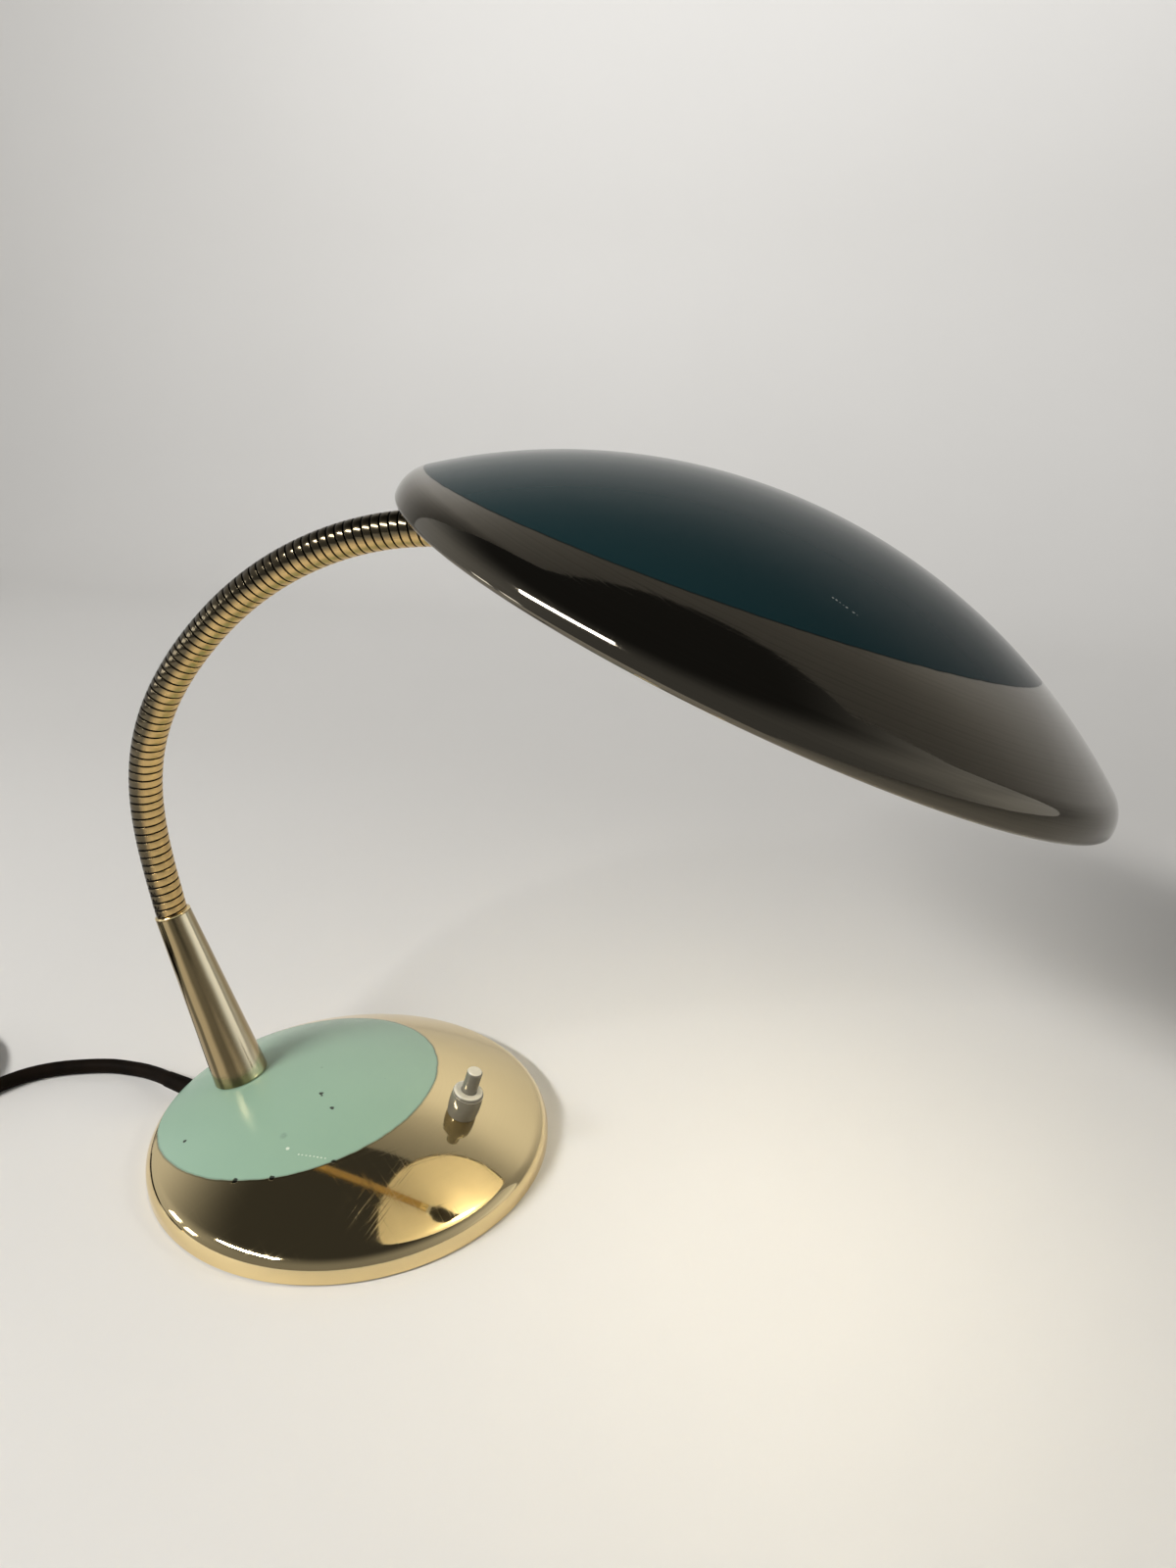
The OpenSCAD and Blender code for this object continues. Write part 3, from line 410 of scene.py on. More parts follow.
class Finish(Nodes):
    """A material of one shader, with short ways to the nodes that feed it."""

    def __init__(self, name, **constants):
        self.material = bpy.data.materials.new(name)
        self.material.use_nodes = True
        super().__init__(self.material.node_tree)
        self.shader = self.tree.nodes.new("ShaderNodeBsdfPrincipled")
        out = self.tree.nodes.new("ShaderNodeOutputMaterial")
        self.tree.links.new(self.shader.outputs[0], out.inputs[0])
        self.set(**constants)

    def set(self, **values):
        """Sets the shader's sockets, named with _ for a space."""
        for key, value in values.items():
            self.feed(self.shader.inputs[key.replace("_", " ")], value)

    def place(self):
        return self.node("ShaderNodeTexCoord", output=3)

    def across(self, direction, origin):
        """Distance from origin along a direction, in metres."""
        moved = self.vector("SUBTRACT", self.place(), tuple(origin))
        return self.vector("DOT_PRODUCT", moved, tuple(direction), output=1)

    def apart(self, origin):
        """Distance from a point, in metres."""
        return self.vector("DISTANCE", self.place(), tuple(origin), output=1)

    def spun_lines(self, axis, origin, per_metre):
        """Fine rings left by spinning: noise that changes only along the axis of a spun piece."""
        at = self.node("ShaderNodeCombineXYZ", {}, [self.across(axis, origin) * per_metre])
        return self.noise(1.0, 2, at)

    def rotated(self, *angles):
        """The place, turned about X, Y and Z by three angles."""
        return self.node("ShaderNodeMapping", {}, {"Vector": self.place(), "Rotation": angles})

    def noise(self, scale, detail, at=None, rough=0.5):
        return self.node(
            "ShaderNodeTexNoise",
            {},
            {"Vector": at or self.place(), "Scale": scale, "Detail": detail, "Roughness": rough},
        )

    def bump(self, height, distance, strength=1.0):
        relief = {"Height": height, "Distance": distance, "Strength": strength}
        self.set(Normal=self.node("ShaderNodeBump", {}, relief))

    def specks(self, scale, size, seed):
        """Small round marks: 1 inside a mark."""
        cell = self.node(
            "ShaderNodeTexVoronoi",
            {"feature": "F1"},
            {"Vector": self.rotated(seed, seed * 2, 0), "Scale": scale},
        )
        return cell.step(size * 0.6, size, 1.0, 0.0)

    def hairlines(self, scale, thin, angle, sparse=0.60):
        """Fine straight scratches: 1 on a scratch."""
        at = self.vector("MULTIPLY", self.rotated(0, 0, angle), (scale, scale * thin, scale * thin))
        return self.noise(1.0, 2.0, at).step(sparse, sparse + 0.12)

    def patch(self, x, y, z, inner, outer):
        """1 within inner of a place and 0 beyond outer, all in millimetres."""
        return self.apart((x * MM, y * MM, z * MM)).step(inner * MM, outer * MM, 1.0, 0.0)

    def marks(self, places, ragged):
        """Ragged spots at given places, each (x, y, z, radius) in millimetres: 1 inside a spot."""
        edge = (self.noise(1100, 2) - 0.5) * ragged * MM * 2
        spots = []
        for x, y, z, r in places:
            distance = self.apart((x * MM, y * MM, z * MM)) + edge
            spots.append(distance.step(r * MM * 0.85, r * MM, 1.0, 0.0))
        return most_of(spots)


def most_of(values):
    """The highest of several values at each place."""
    total = values[0]
    for value in values[1:]:
        total = total.most(value)
    return total


def shaded(colour, share):
    """A colour darkened to a share of itself."""
    return tuple(c * share for c in colour)


def polished(name, colour, rough=0.07):
    """Polished metal with faint clouding and hairline scratches."""
    f = Finish(name, Metallic=1.0)
    cloud = f.noise(22, 4)
    lines = f.hairlines(2400, 0.02, 0.6).most(f.hairlines(2100, 0.02, 2.1))
    pits = f.specks(260, 0.05, 0.7)
    f.set(
        Base_Color=f.mix(pits * 0.5 + cloud.step(0.45, 0.75) * 0.12, colour, shaded(colour, 0.55)),
        Roughness=rough + cloud.step(0.4, 0.8) * 0.05 + lines * 0.12,
    )
    f.bump(cloud * 0.5 + lines * -0.4, 0.00002, 0.6)
    return f.material


def painted(name, colour, rough, grain=900, depth=0.00003):
    """Moulded or sprayed surface: a little orange peel and uneven tone."""
    f = Finish(name)
    tone = f.noise(30, 3)
    f.set(
        Base_Color=f.mix(tone.step(0.3, 0.7) * 0.25, colour, shaded(colour, 0.78)),
        Roughness=rough + f.noise(140, 3) * 0.1,
    )
    f.bump(f.noise(grain, 2), depth, 0.5)
    return f.material


BRASS = (0.80, 0.64, 0.35)
MINT = (0.285, 0.43, 0.325)
PETROL = (0.007, 0.026, 0.030)
SMOKED = (0.150, 0.134, 0.104)
CREAM = (0.82, 0.79, 0.70)
DULL_BRASS = (0.62, 0.48, 0.26)
# Neck colours: painted lit gold for the inside of the bend, painted shaded brass for its outside, near
# black for the grooves
NECK_LIT_BRASS, NECK_SHADED_BRASS, NECK_GROOVE_DARK = (0.66, 0.46, 0.20), (0.10, 0.082, 0.052), (0.006, 0.005, 0.003)
# Stem brass, with the colours of its painted dark and painted bright reflections
STEM_BRASS, STEM_REFLECTED_DARK, STEM_REFLECTED_BRIGHT = (0.42, 0.325, 0.175), (0.075, 0.06, 0.033), (0.90, 0.80, 0.56)
# Ivory, and two tones of painted shade for the switch's sides
IVORY, IVORY_SIDE_SHADE, IVORY_DEEP_SIDE_SHADE = (0.62, 0.59, 0.48), (0.18, 0.168, 0.132), (0.13, 0.12, 0.092)
SMEARED, BARED, CHIPPED = (0.12, 0.16, 0.13), (0.72, 0.78, 0.68), (0.018, 0.020, 0.016)
SCRATCHED = (0.35, 0.38, 0.36)

# Each enamel area is the cap that a plane cuts from its dome: the way it faces and how far out it lies
BASE_ENAMEL_WAY = Vector((-0.1526, 0.0118, 0.9882)).normalized()
BASE_ENAMEL_R = 60.6 * MM
BASE_ENAMEL_CUT = math.sqrt(DOME_R**2 - BASE_ENAMEL_R**2)
shade_axis = shade_frame.to_3x3() @ Vector((0, 0, 1))
shade_forward = shade_frame.to_3x3() @ Vector((1, 0, 0))
SHADE_ENAMEL_TILT = math.radians(5.64)
SHADE_ENAMEL_WAY = (
    math.cos(SHADE_ENAMEL_TILT) * shade_axis - math.sin(SHADE_ENAMEL_TILT) * shade_forward
).normalized()
SHADE_ENAMEL_CUT = 177.7 * MM
SHADE_DOME_CENTRE = shade_frame @ Vector((0, 0, SHADE_H - SHADE_CAP_R))


def on_enamel_edge(x, y, z):
    """The place on the edge of the base's enamel nearest to a place on the dome, in millimetres."""
    out = Vector((x, y, z)) * MM - DOME_CENTRE
    out = (out - out.dot(BASE_ENAMEL_WAY) * BASE_ENAMEL_WAY).normalized()
    return (DOME_CENTRE + BASE_ENAMEL_CUT * BASE_ENAMEL_WAY + BASE_ENAMEL_R * out) / MM


def enamelled(f, way, centre, cut, enamel, metal, spun):
    """Enamel on one side of a plane and bare metal on the other: colour, enamel mask and cloudiness."""
    wobble = (f.noise(160, 2) - 0.5) * 0.0003
    inside = f.across(way, centre) - cut + wobble
    coat = inside.step(-0.00008, 0.00008)
    cloud = f.noise(14, 1)
    tone = f.mix(cloud.step(0.25, 0.75) * 0.22, enamel, shaded(enamel, 0.84))
    bare = f.mix(cloud.step(0.3, 0.8) * 0.15 + spun * 0.3, metal, shaded(metal, 0.65))
    edge_line = abs(inside).step(0.00006, 0.0003, 1.0, 0.0)
    shown = f.mix(edge_line * 0.5, f.mix(coat, bare, tone), shaded(enamel, 0.3))
    return shown, coat, cloud


# Wear on the base's enamel: place and radius of each mark, in millimetres
CHIPS = (
    (-6.6, -12.6, 30.4, 1.0),
    (-6, -13.8, 30.3, 0.6),
    (1.7, -19.7, 29.9, 0.9),
    (-55.2, -40, 17.1, 0.9),
)
# These are moved on to the enamel's edge
EDGE_NICKS = ((-21, -59.3, 19.2, 1.3), (-6.3, -56.6, 21.5, 1.2), (14, -44.4, 24.7, 0.9))
PALE_SPOT = (-6.5, -42.6, 25.6, 0.8)
PALE_SCRAPE = [(-0.9 + 1.6 * k, -44.4 + 0.1 * k, 25.25, 0.35) for k in range(8)]
# Soft patches: place, then the radius of their full part and of their end
SMUDGE = (-11.1, -37.2, 26.6, 0.4, 2.2)
RUBBED, RUBBED_LESS = (33.8, -58.8, 17.3, 2, 15), (40.4, -40.4, 21.4, 1, 9)
# The scratch on the shade's enamel has a gap in it
SHADE_SCRATCH = [(186.9 + 0.9 * k, -78.4 - 0.2 * k, 264.4 - 0.55 * k, 0.3) for k in range(8) if k != 5]


def base_finish():
    """Polished brass with an off-centre area of mint enamel, chipped, and nicked at its edge."""
    f = Finish("brass_and_mint_enamel")
    spun = f.spun_lines((0, 0, 1), (0, 0, 0), 5000)
    shown, coat, cloud = enamelled(
        f, BASE_ENAMEL_WAY, DOME_CENTRE, BASE_ENAMEL_CUT, MINT, BRASS, spun.step(0.4, 0.7) * 0.2
    )
    chips = f.marks(CHIPS, 0.7)
    pricks = f.specks(34, 0.022, 0.35)
    nicks = f.marks([(*on_enamel_edge(x, y, z), r) for x, y, z, r in EDGE_NICKS], 0.8)
    pale = f.marks([PALE_SPOT], 0.5).most(f.marks(PALE_SCRAPE, 0.4))
    smudge = f.patch(*SMUDGE) * f.noise(900, 2)
    worn = (chips * coat).most(nicks)
    shown = f.mix(smudge.most(pricks * 0.5) * coat * 0.55, shown, SMEARED)
    shown = f.mix(pale * coat * 0.8, shown, BARED)
    shown = f.mix(worn * 0.94, shown, CHIPPED)
    rubbed = f.patch(*RUBBED).most(f.patch(*RUBBED_LESS) * 0.7)
    rubbed = rubbed * f.hairlines(2100, 0.02, 0.25, 0.54)
    haze = f.hairlines(1700, 0.02, 0.8).most(f.hairlines(1500, 0.02, 2.2))
    f.set(
        Base_Color=shown,
        Metallic=1 - coat,
        Roughness=(1 - coat) * (0.035 + cloud * 0.03 + haze * 0.06 + rubbed * 0.22)
        + coat * (0.20 + cloud * 0.05)
        + chips * 0.3,
    )
    relief = coat * 0.08 - worn * 0.10 + haze * 0.002 + rubbed * 0.006
    f.bump(relief + spun * (1 - coat) * 0.0006, 0.001)
    return f.material


def shade_finish():
    """Smoked, spun metal with an off-centre area of petrol enamel: hazed, specked and scratched once."""
    f = Finish("smoked_metal_and_petrol_enamel", Specular_IOR_Level=0.04)
    spun = f.spun_lines(shade_axis, SHADE_DOME_CENTRE, 2400)
    rings = spun.step(0.4, 0.65)
    shown, coat, cloud = enamelled(
        f, SHADE_ENAMEL_WAY, SHADE_DOME_CENTRE, SHADE_ENAMEL_CUT, PETROL, SMOKED, rings
    )
    specks = f.specks(45, 0.02, 0.9) * f.noise(22, 1).step(0.58, 0.62)
    marked = f.marks(SHADE_SCRATCH, 0.4).most(specks)
    haze = f.hairlines(1500, 0.02, 0.6).most(f.hairlines(1300, 0.02, 2.1))
    f.set(
        Base_Color=f.mix(marked * coat * 0.7, shown, SCRATCHED),
        Metallic=1 - coat,
        Roughness=(1 - coat) * (0.04 + spun.step(0.45, 0.7) * 0.05 + haze * 0.03)
        + coat * (0.09 + cloud * 0.05 + haze * 0.05),
    )
    f.bump(coat * 0.08 + spun * (1 - coat) * 0.0012 + haze * 0.001, 0.001)
    return f.material


def neck_finish():
    """Wound brass with painted light: lit gold inside the bend, painted shade outside it, near black in the
    grooves between the turns.
    """
    f = Finish("wound_brass", Specular_IOR_Level=0.05)
    groove = f.node("ShaderNodeAttribute", {"attribute_name": "groove"}, output=2)
    outer = f.node("ShaderNodeAttribute", {"attribute_name": "outer"}, output=2)
    patina = f.noise(45, 2).step(0.35, 0.75)
    # Painted shade on the outer side of the bend, mixed with patchy patina
    outer_shade_and_patina = (outer + patina * 0.2).step(-0.45, 0.05)
    # Near black and not metallic in the grooves between the turns
    groove_dark = groove.step(0.08, 0.16)
    brass = f.mix(outer_shade_and_patina, NECK_LIT_BRASS, NECK_SHADED_BRASS)
    f.set(
        Base_Color=f.mix(groove_dark, brass, NECK_GROOVE_DARK),
        Metallic=1 - groove_dark,
        Roughness=0.28 - outer_shade_and_patina * 0.14 + patina * 0.05 + groove_dark * 0.3,
    )
    f.bump(f.noise(700, 3), 0.00002, 0.4)
    return f.material


# Painted reflections along the stem, dark and bright streaks for what the polished brass mirrors: the angle
# of each round it and its half width, in degrees
PAINTED_DARK_REFLECTIONS = ((-150, 20), (-101, 9), (-64, 18))
PAINTED_BRIGHT_REFLECTIONS = ((-16, 25),)


def stem_finish():
    """Polished brass with a soft haze, fine drawn lines, and painted dark and bright reflections as streaks
    along the stem.
    """
    f = Finish("stem_brass", Metallic=1.0)
    upright = f.rotated(0, math.pi / 2 - STEM_LEAN, 0)
    drawn = f.noise(1.0, 2, f.vector("MULTIPLY", upright, (1900, 1900, 40)))
    foot = stem_frame @ Vector((0, 0, 0))
    forward = f.across(stem_frame.to_3x3() @ Vector((1, 0, 0)), foot)
    turn = f.across((0, 1, 0), foot).math("ARCTAN2", forward) + (f.noise(60, 1) - 0.5) * 0.12

    def painted_reflections(places):
        found = []
        for at, wide in places:
            off = abs(turn - math.radians(at))
            found.append(off.step(math.radians(wide * 0.3), math.radians(wide), 1.0, 0.0))
        return most_of(found)

    cloud = f.noise(26, 2)
    # Painted dark reflections over a random haze, then a painted bright reflection on top
    cloud_and_reflected_dark = cloud.step(0.3, 0.8) * 0.15 + painted_reflections(PAINTED_DARK_REFLECTIONS) * 0.75
    brass = f.mix(cloud_and_reflected_dark, STEM_BRASS, STEM_REFLECTED_DARK)
    f.set(
        Base_Color=f.mix(painted_reflections(PAINTED_BRIGHT_REFLECTIONS), brass, STEM_REFLECTED_BRIGHT),
        Roughness=0.07 + drawn * 0.07 + cloud * 0.04,
    )
    f.bump(drawn, 0.000006, 0.5)
    return f.material


def ivory_finish():
    """Ivory plastic with painted light: lit on top, painted shade on its sides."""
    f = Finish("ivory_plastic")
    normal = f.node("ShaderNodeNewGeometry", output=1)
    upward = f.node("ShaderNodeSeparateXYZ", {}, [normal], output=2)
    tone = f.noise(300, 3)
    # Painted light: faces turned up stay lit ivory, the sides get painted shade
    lit_top = (upward + (tone - 0.5) * 0.1).step(0.50, 0.80)
    f.set(
        Base_Color=f.mix(lit_top, f.mix(tone, IVORY_SIDE_SHADE, IVORY_DEEP_SIDE_SHADE), IVORY),
        Roughness=0.07 + lit_top * 0.12 + tone * 0.05,
    )
    f.bump(f.noise(1200, 2), 0.00001, 0.5)
    return f.material


def rubber_finish():
    f = Finish("black_rubber", Specular_IOR_Level=0.03)
    tone = f.noise(120, 3)
    f.set(
        Base_Color=f.mix(tone.step(0.3, 0.8), (0.009, 0.006, 0.004), (0.005, 0.004, 0.003)),
        Roughness=0.52 + tone * 0.15,
    )
    f.bump(f.noise(1500, 2), 0.00004, 0.5)
    return f.material


def felt_finish():
    f = Finish("green_felt", Roughness=0.95, Sheen_Weight=0.4)
    fibres = f.noise(1400, 4, rough=0.8)
    f.set(Base_Color=f.mix(fibres, (0.010, 0.030, 0.020), (0.035, 0.075, 0.050)))
    f.bump(fibres, 0.0004, 0.8)
    return f.material


def iron_finish():
    f = Finish("cast_iron", Metallic=0.6)
    cast = f.noise(500, 5, rough=0.7)
    f.set(
        Base_Color=f.mix(cast, (0.05, 0.048, 0.045), (0.13, 0.12, 0.11)),
        Roughness=0.55 + cast * 0.25,
    )
    f.bump(cast, 0.0003, 0.7)
    return f.material


def steel_finish():
    f = Finish("zinc_steel", Metallic=1.0)
    spangle = f.noise(300, 2)
    f.set(
        Base_Color=f.mix(spangle, (0.55, 0.56, 0.57), (0.72, 0.72, 0.70)),
        Roughness=0.28 + spangle * 0.2,
    )
    f.bump(f.noise(1200, 2), 0.00003, 0.5)
    return f.material


def glass_finish():
    f = Finish("opal_glass", Roughness=0.18)
    glow = f.noise(20, 2)
    f.set(
        Base_Color=f.mix(glow, (0.95, 0.90, 0.80), (0.90, 0.84, 0.72)),
        Emission_Color=f.mix(glow, (1.0, 0.88, 0.66), (1.0, 0.93, 0.76)),
        Emission_Strength=18.0,
    )
    return f.material


brass_and_mint = base_finish()
smoked_and_petrol = shade_finish()
wound_brass = neck_finish()
stem_brass = stem_finish()
black_rubber = rubber_finish()
green_felt = felt_finish()
cast_iron = iron_finish()
zinc_steel = steel_finish()
opal_glass = glass_finish()
cream_paint = painted("cream_paint", CREAM, 0.4, 700, 0.00006)
bright_brass = polished("bright_brass", BRASS)
dull_brass = polished("dull_brass", DULL_BRASS, 0.2)
ivory_plastic = ivory_finish()
black_plastic = painted("black_plastic", (0.016, 0.015, 0.014), 0.28, 1500, 0.00002)
white_ceramic = painted("white_ceramic", (0.72, 0.70, 0.64), 0.35, 800, 0.00004)
blue_wire = painted("blue_wire", (0.02, 0.08, 0.22), 0.35)
brown_wire = painted("brown_wire", (0.08, 0.03, 0.012), 0.35)

node_finish = {
    "base_weight": cast_iron,
    "bottom_plate": zinc_steel,
    "felt_pad": green_felt,
    "plate_screws": zinc_steel,
    "strain_relief": black_rubber,
    "cord_clamp": zinc_steel,
    "clamp_screws": dull_brass,
    "terminal_block": white_ceramic,
    "terminal_tubes": dull_brass,
    "lead_inside": black_rubber,
    "lead_cores": blue_wire,
    "switch_wire": brown_wire,
    "stem_rod": zinc_steel,
    "stem_washer": zinc_steel,
    "stem_nut": zinc_steel,
    "switch_body": black_plastic,
    "switch_collar": ivory_plastic,
    "switch_spring": zinc_steel,
    "switch_button": ivory_plastic,
    "coil_tie": black_plastic,
    "plug_body": black_plastic,
    "plug_pins": bright_brass,
    "neck_ferrule": bright_brass,
    "ferrule_nut": zinc_steel,
    "shade_strap": zinc_steel,
    "shade_stud": zinc_steel,
    "shade_washer": zinc_steel,
    "shade_nut": zinc_steel,
    "holder_cap": black_plastic,
    "holder_skirt": black_plastic,
    "holder_insert": white_ceramic,
    "thread_sleeve": dull_brass,
    "centre_contact": dull_brass,
    "bulb_cap": dull_brass,
    "bulb_glass": opal_glass,
}
for node, material in node_finish.items():
    mesh = frame["nodes"][node].data
    mesh.materials.clear()
    mesh.materials.append(material)
mains_cord.data.materials.append(black_rubber)


# ---------------------------------------------------------------- base

BASE_AROUND = 192
outside, inside = dome_profile(
    BASE_R, BASE_EDGE_R, BASE_RIM_H, BASE_H, DOME_R, SHEET, cap_steps=60, edge_steps=16
)
section = [(BASE_R, RIM_GAP), *outside, *inside, (BASE_R - SHEET, RIM_GAP)]
points, faces = turned(section, Matrix.Identity(4), BASE_AROUND)
mesh_piece("base_dome", points, faces, brass_and_mint, "base", ("base_shell",))


# ---------------------------------------------------------------- switch

# The spring under the button: a copy of its mesh, riding on the base
spring_mesh = frame["nodes"]["switch_spring"].data.copy()
spring = bpy.data.objects.new("switch_coil_spring", spring_mesh)
bpy.context.scene.collection.objects.link(spring)
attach(spring, "base")
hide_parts("switch_spring")
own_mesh(spring)


# ---------------------------------------------------------------- shade

BEAD_R = 1.6 * MM
SHADE_AROUND = 224
outside, inside = dome_profile(
    SHADE_R, SHADE_EDGE_R, 0, SHADE_H, SHADE_CAP_R, SHADE_SHEET, cap_steps=72, edge_steps=18
)
points, faces = turned(outside + inside, shade_frame, SHADE_AROUND)
shade_piece = mesh_piece(
    "shade_shell", points, faces, smoked_and_petrol, "head", ("shade",)
)
# The faces of the outside come first, the others are painted cream
shade_piece.data.materials.append(cream_paint)
outer_faces = (len(outside) - 1) * SHADE_AROUND
for polygon in shade_piece.data.polygons:
    if polygon.index >= outer_faces:
        polygon.material_index = 1
bead = arc((SHADE_R - BEAD_R, 0), BEAD_R, 0, FULL_TURN, 25)[:-1]
points, faces = turned(bead, shade_frame, SHADE_AROUND)
mesh_piece("shade_rim_bead", points, faces, smoked_and_petrol, "head", ())


# ---------------------------------------------------------------- stem

STEM_LEN = 80.5 * MM
FLANGE = 1.2 * MM
FOOT_R, MOUTH_R = 11.75 * MM, 7.4 * MM
FOOT_ROUND = 0.75 * MM
FOOT_LIFT = 0.05 * MM
MOUTH_WALL, MOUTH_DEPTH = 0.8 * MM, 13 * MM
STEM_AROUND = 96
foot_r = FOOT_R - 2 * FOOT_ROUND
foot_low = FOOT_LIFT - (DOME_R - math.sqrt(DOME_R**2 - foot_r**2))
stem_mouth = STEM_LEN - FLANGE
bore_r = MOUTH_R - MOUTH_WALL
cone_low = foot_low + FOOT_ROUND
cone = [
    (FOOT_R + (MOUTH_R - FOOT_R) * t, cone_low + (stem_mouth - cone_low) * t)
    for t in spaced(0.02, 1, 12)
]
sleeve = (
    [(foot_r, foot_low)]
    + arc((FOOT_R - FOOT_ROUND, cone_low), FOOT_ROUND, math.pi, math.pi / 2, 8)
    + cone
    + [(bore_r, stem_mouth), (bore_r, stem_mouth - MOUTH_DEPTH)]
)
points, faces = turned(sleeve, stem_frame, STEM_AROUND)
mesh_piece("stem_cone", points, faces, stem_brass, "base", ("stem_sleeve",))

# The ring in the stem's mouth: a rolled lip over the sleeve and a plug below it, bored for the lead
PLUG_R, PLUG_BORE_R, PLUG_LEN = MOUTH_R - 0.9 * MM, 5.1 * MM, 12 * MM
LIP_R, LIP_OVER = FLANGE / 2, 0.1 * MM
plug_foot = stem_mouth - PLUG_LEN
ring = (
    [(PLUG_BORE_R, plug_foot), (PLUG_R, plug_foot), (PLUG_R, stem_mouth)]
    + arc((MOUTH_R + LIP_OVER - LIP_R, stem_mouth + LIP_R), LIP_R, math.pi, 0, 12)
    + [(PLUG_BORE_R, STEM_LEN)]
)
points, faces = turned(ring, stem_frame, STEM_AROUND)
mesh_piece("stem_lip", points, faces, bright_brass, "base", ("neck_foot",))


# ---------------------------------------------------------------- neck

MOUTH = neck_joints[0] - LINK_GAP / 2 * stem_way
TURN_WIDTH = 3.4 * MM


def link_point(k, along):
    """A point so far along link k, which starts at joint k."""
    return neck_joints[k] + along * way_at(link_headings[k])


middles = [link_point(k, LINK / 2) for k in range(NECK_LINKS)]


def arched(a, a_heading, b, b_heading, steps):
    """A smooth piece of centre line from a to b with given headings."""
    length = (b - a).length
    ta = length * way_at(a_heading)
    tb = length * way_at(b_heading)
    out = []
    for t in spaced(0, 1, steps):
        h = (2 * t**3 - 3 * t**2 + 1, t**3 - 2 * t**2 + t, -2 * t**3 + 3 * t**2, t**3 - t**2)
        out.append(h[0] * a + h[1] * ta + h[2] * b + h[3] * tb)
    return out


centre_line = arched(MOUTH, STEM_LEAN, middles[0], link_headings[0], steps=40)
middle_at = [len(centre_line) - 1]
for k in range(NECK_LINKS - 1):
    a, b = link_headings[k : k + 2]
    centre_line += arched(middles[k], a, middles[k + 1], b, steps=40)[1:]
    middle_at.append(len(centre_line) - 1)
last = NECK_LINKS - 1
last_heading = link_headings[last]
neck_top = link_point(last, LINK + LINK_GAP / 2)
centre_line += arched(middles[last], last_heading, neck_top, last_heading, steps=24)[1:]
line_x = np.array([p.x for p in centre_line])
line_z = np.array([p.z for p in centre_line])
line_s = np.concatenate([[0], np.cumsum(np.hypot(np.diff(line_x), np.diff(line_z)))])
NECK_LEN = float(line_s[-1])
NECK_TURNS = round(NECK_LEN / TURN_WIDTH)
NECK_PITCH = NECK_LEN / NECK_TURNS
middle_s = [float(line_s[i]) for i in middle_at]

AROUND = 44
GROOVE = 1 * MM
WAY_STEP = 0.4 * MM
# Where the rows of one turn lie, from groove to groove: close together at the turn's two edges
half_turn = [0.04, 0.08, 0.088, 0.095, 0.102, 0.11, 0.14, 0.25, 0.4]
turn_rows = [0, *half_turn, *(1 - t for t in reversed(half_turn))]
ROWS = len(turn_rows)
# How much lower a turn's crown is at its edges, and where in its half width it drops into the groove
CROWN_FALL, DROP_AT, DROP_WIDTH = 0.12, 0.78, 0.06


def turn_shape(t):
    """Height of a turn's surface at t of its pitch: 1 on its nearly flat crown, 0 in the steep groove."""
    d = abs(t - 0.5) * 2
    return (1 - CROWN_FALL * d * d) * (1 - smooth((d - DROP_AT) / DROP_WIDTH))


def line_at(s):
    """The point of the neck's centre line at a distance s along it."""
    return Vector((float(np.interp(s, line_s, line_x)), 0, float(np.interp(s, line_s, line_z))))


def on_neck(s, angle, radius):
    """A point at a distance s along the neck, which runs straight on beyond its ends."""
    held = min(max(s, 0), NECK_LEN)
    way = (line_at(held + WAY_STEP) - line_at(held - WAY_STEP)).normalized()
    out = Vector((-way.z, 0, way.x))
    middle = line_at(held) + (s - held) * way
    return middle + radius * (math.sin(angle) * out + math.cos(angle) * Vector((0, 1, 0)))


def wound_piece(name, first_turn, last_turn):
    """The turns from first to last as one skin, whose rows follow the winding."""
    rows = round((last_turn - first_turn) * ROWS)
    points, faces, index, marks = [], [], {}, {"groove": [], "outer": []}
    for i in range(rows + 1):
        for j in range(AROUND + 1):
            if j == AROUND and i + ROWS <= rows:
                continue
            in_turn = turn_rows[i % ROWS]
            s = (first_turn + i // ROWS + in_turn + j / AROUND - 0.5) * NECK_PITCH
            high = turn_shape(in_turn)
            index[i, j] = len(points)
            angle = FULL_TURN * j / AROUND
            points.append(on_neck(s, angle, NECK_R - GROOVE * (1 - high)))
            marks["groove"].append(1 - high)
            marks["outer"].append(math.sin(angle))
    for i in range(rows):
        for j in range(AROUND):
            corners = []
            for a, b in ((i, j), (i + 1, j), (i + 1, j + 1), (i, j + 1)):
                corners.append(index[a + ROWS, 0] if b == AROUND and a + ROWS <= rows else index[a, b])
            faces.append(corners)
    piece = mesh_piece(name, points, faces, wound_brass, None, sharp=80)
    for mark, values in marks.items():
        piece.data.attributes.new(mark, "FLOAT", "POINT").data.foreach_set("value", values)
    return piece


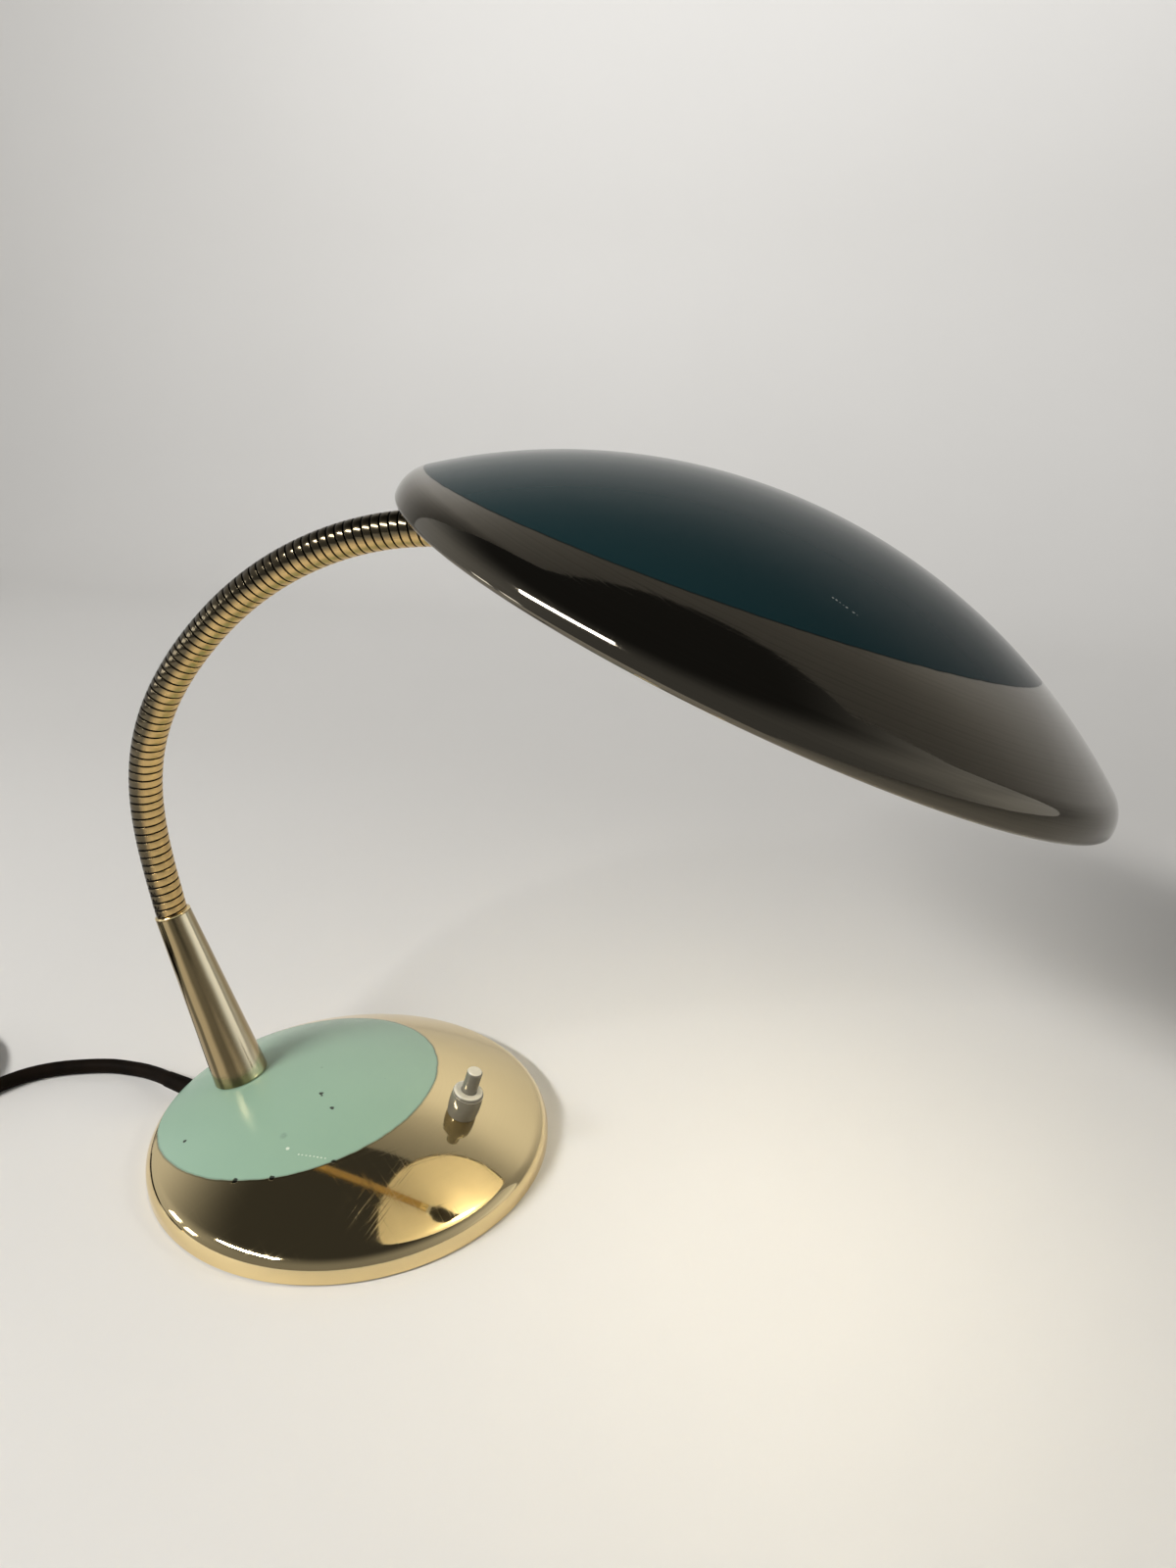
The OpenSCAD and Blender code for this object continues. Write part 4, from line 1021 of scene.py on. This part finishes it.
# Each piece rides on one link and is cut in the groove nearest to the joint. A black sleeve round the lead
# reaches from each link down into the one below, so that no joint opens to the inside.
FLEX_R = 4.4 * MM
FLEX_AROUND = 20
bodies = ["base"] + ["link_%02d" % k for k in range(1, NECK_LINKS)] + ["head"]
joint_s = [LINK_GAP / 2] + [(a + b) / 2 for a, b in zip(middle_s, middle_s[1:])]
cuts = [-1] + [round(s / NECK_PITCH) for s in joint_s] + [NECK_TURNS + 1]
for k, body in enumerate(bodies):
    name = "neck_turns_%02d" % (k + 1)
    piece = wound_piece(name, cuts[k], cuts[k + 1] + (1 if body == "head" else 0))
    flex_low = (cuts[k] - (3 if body == "base" else 1.2)) * NECK_PITCH
    flex_high = (cuts[k + 1] - 1.5) * NECK_PITCH
    flex_path = [on_neck(s, 0, 0) for s in spaced(flex_low, flex_high, 9)]
    points, faces = tube(flex_path, FLEX_R, FLEX_AROUND)
    flex = mesh_piece("flex_" + name, points, faces, black_rubber, body)
    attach(piece, body)
    if body == "base":
        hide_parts("neck_flex")
    else:
        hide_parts("neck_link_%02d" % k)


# ---------------------------------------------------------------- floor, backdrop and light

floor = Finish("pale_floor", Roughness=0.55)
soft = floor.noise(3, 3)
floor.set(Base_Color=floor.mix(soft, (0.74, 0.73, 0.71), (0.77, 0.76, 0.74)))
FRONT_Y, BACK_Y, BEND_R, HALF_WIDE, TALL = -2.0, 1.5, 0.5, 3.0, 3.6
bend = arc((BACK_Y - BEND_R, BEND_R), BEND_R, math.pi, math.pi / 2, 16)
sweep = [(FRONT_Y, 0.0), *bend, (BACK_Y, TALL)]
points = [(x, y, z) for y, z in sweep for x in (-HALF_WIDE, HALF_WIDE)]
faces = [(2 * i, 2 * i + 1, 2 * i + 3, 2 * i + 2) for i in range(len(sweep) - 1)]
mesh_piece("floor_sweep", points, faces, floor.material, None)


def soft_light(name, place, aim, size, power, colour=(1, 1, 1)):
    """A flat light of a given width and height at a place, turned to face another."""
    data = bpy.data.lights.new(name, "AREA")
    data.shape = "RECTANGLE"
    data.size, data.size_y = size
    data.energy = power
    data.color = colour
    light = bpy.data.objects.new(name, data)
    bpy.context.scene.collection.objects.link(light)
    light.location = place
    light.rotation_euler = (Vector(aim) - Vector(place)).to_track_quat("-Z", "Y").to_euler()


LAMP_MIDDLE = (0.05, 0, 0.12)
DAYLIGHT = (1.0, 0.985, 0.96)
soft_light("key_light", (-0.95, -1.25, 1.35), LAMP_MIDDLE, (1.1, 0.17), 39, DAYLIGHT)
for pane in range(2):
    place = (-1.10, -0.60 + 0.28 * pane, 0.34)
    soft_light("left_window_%d" % (pane + 1), place, LAMP_MIDDLE, (0.16, 0.2), 0.6)
# It faces the backdrop, so that neither shell mirrors it
soft_light("wall_wash", (0.35, 0.85, 1.2), (0.35, 1.6, 0.95), (2.4, 0.9), 6)

# Pale walls under a dark ceiling, dimmer behind the camera and brighter low down on the right
world = bpy.data.worlds.new("studio")
bpy.context.scene.world = world
world.use_nodes = True
studio = Nodes(world.node_tree)
way = studio.node("ShaderNodeTexCoord")
right, back, above = [studio.node("ShaderNodeSeparateXYZ", {}, [way], output=k) for k in range(3)]
glow = above.step(0.35, 0.85, 1.0, 0.0) * back.step(-0.9, 0.4, 0.18, 0.56) + 0.04
glow = glow + above.step(0.12, 0.30, 0.2, 0.0) * (right * 0.8 + back * 0.6).step(0.55, 0.95)
sky = studio.node("ShaderNodeBackground", {}, {"Color": studio.mix(glow, (0, 0, 0), (1, 1, 1))})
studio.tree.links.new(sky.socket, studio.tree.nodes.new("ShaderNodeOutputWorld").inputs[0])
bpy.context.scene.view_settings.view_transform = "Standard"
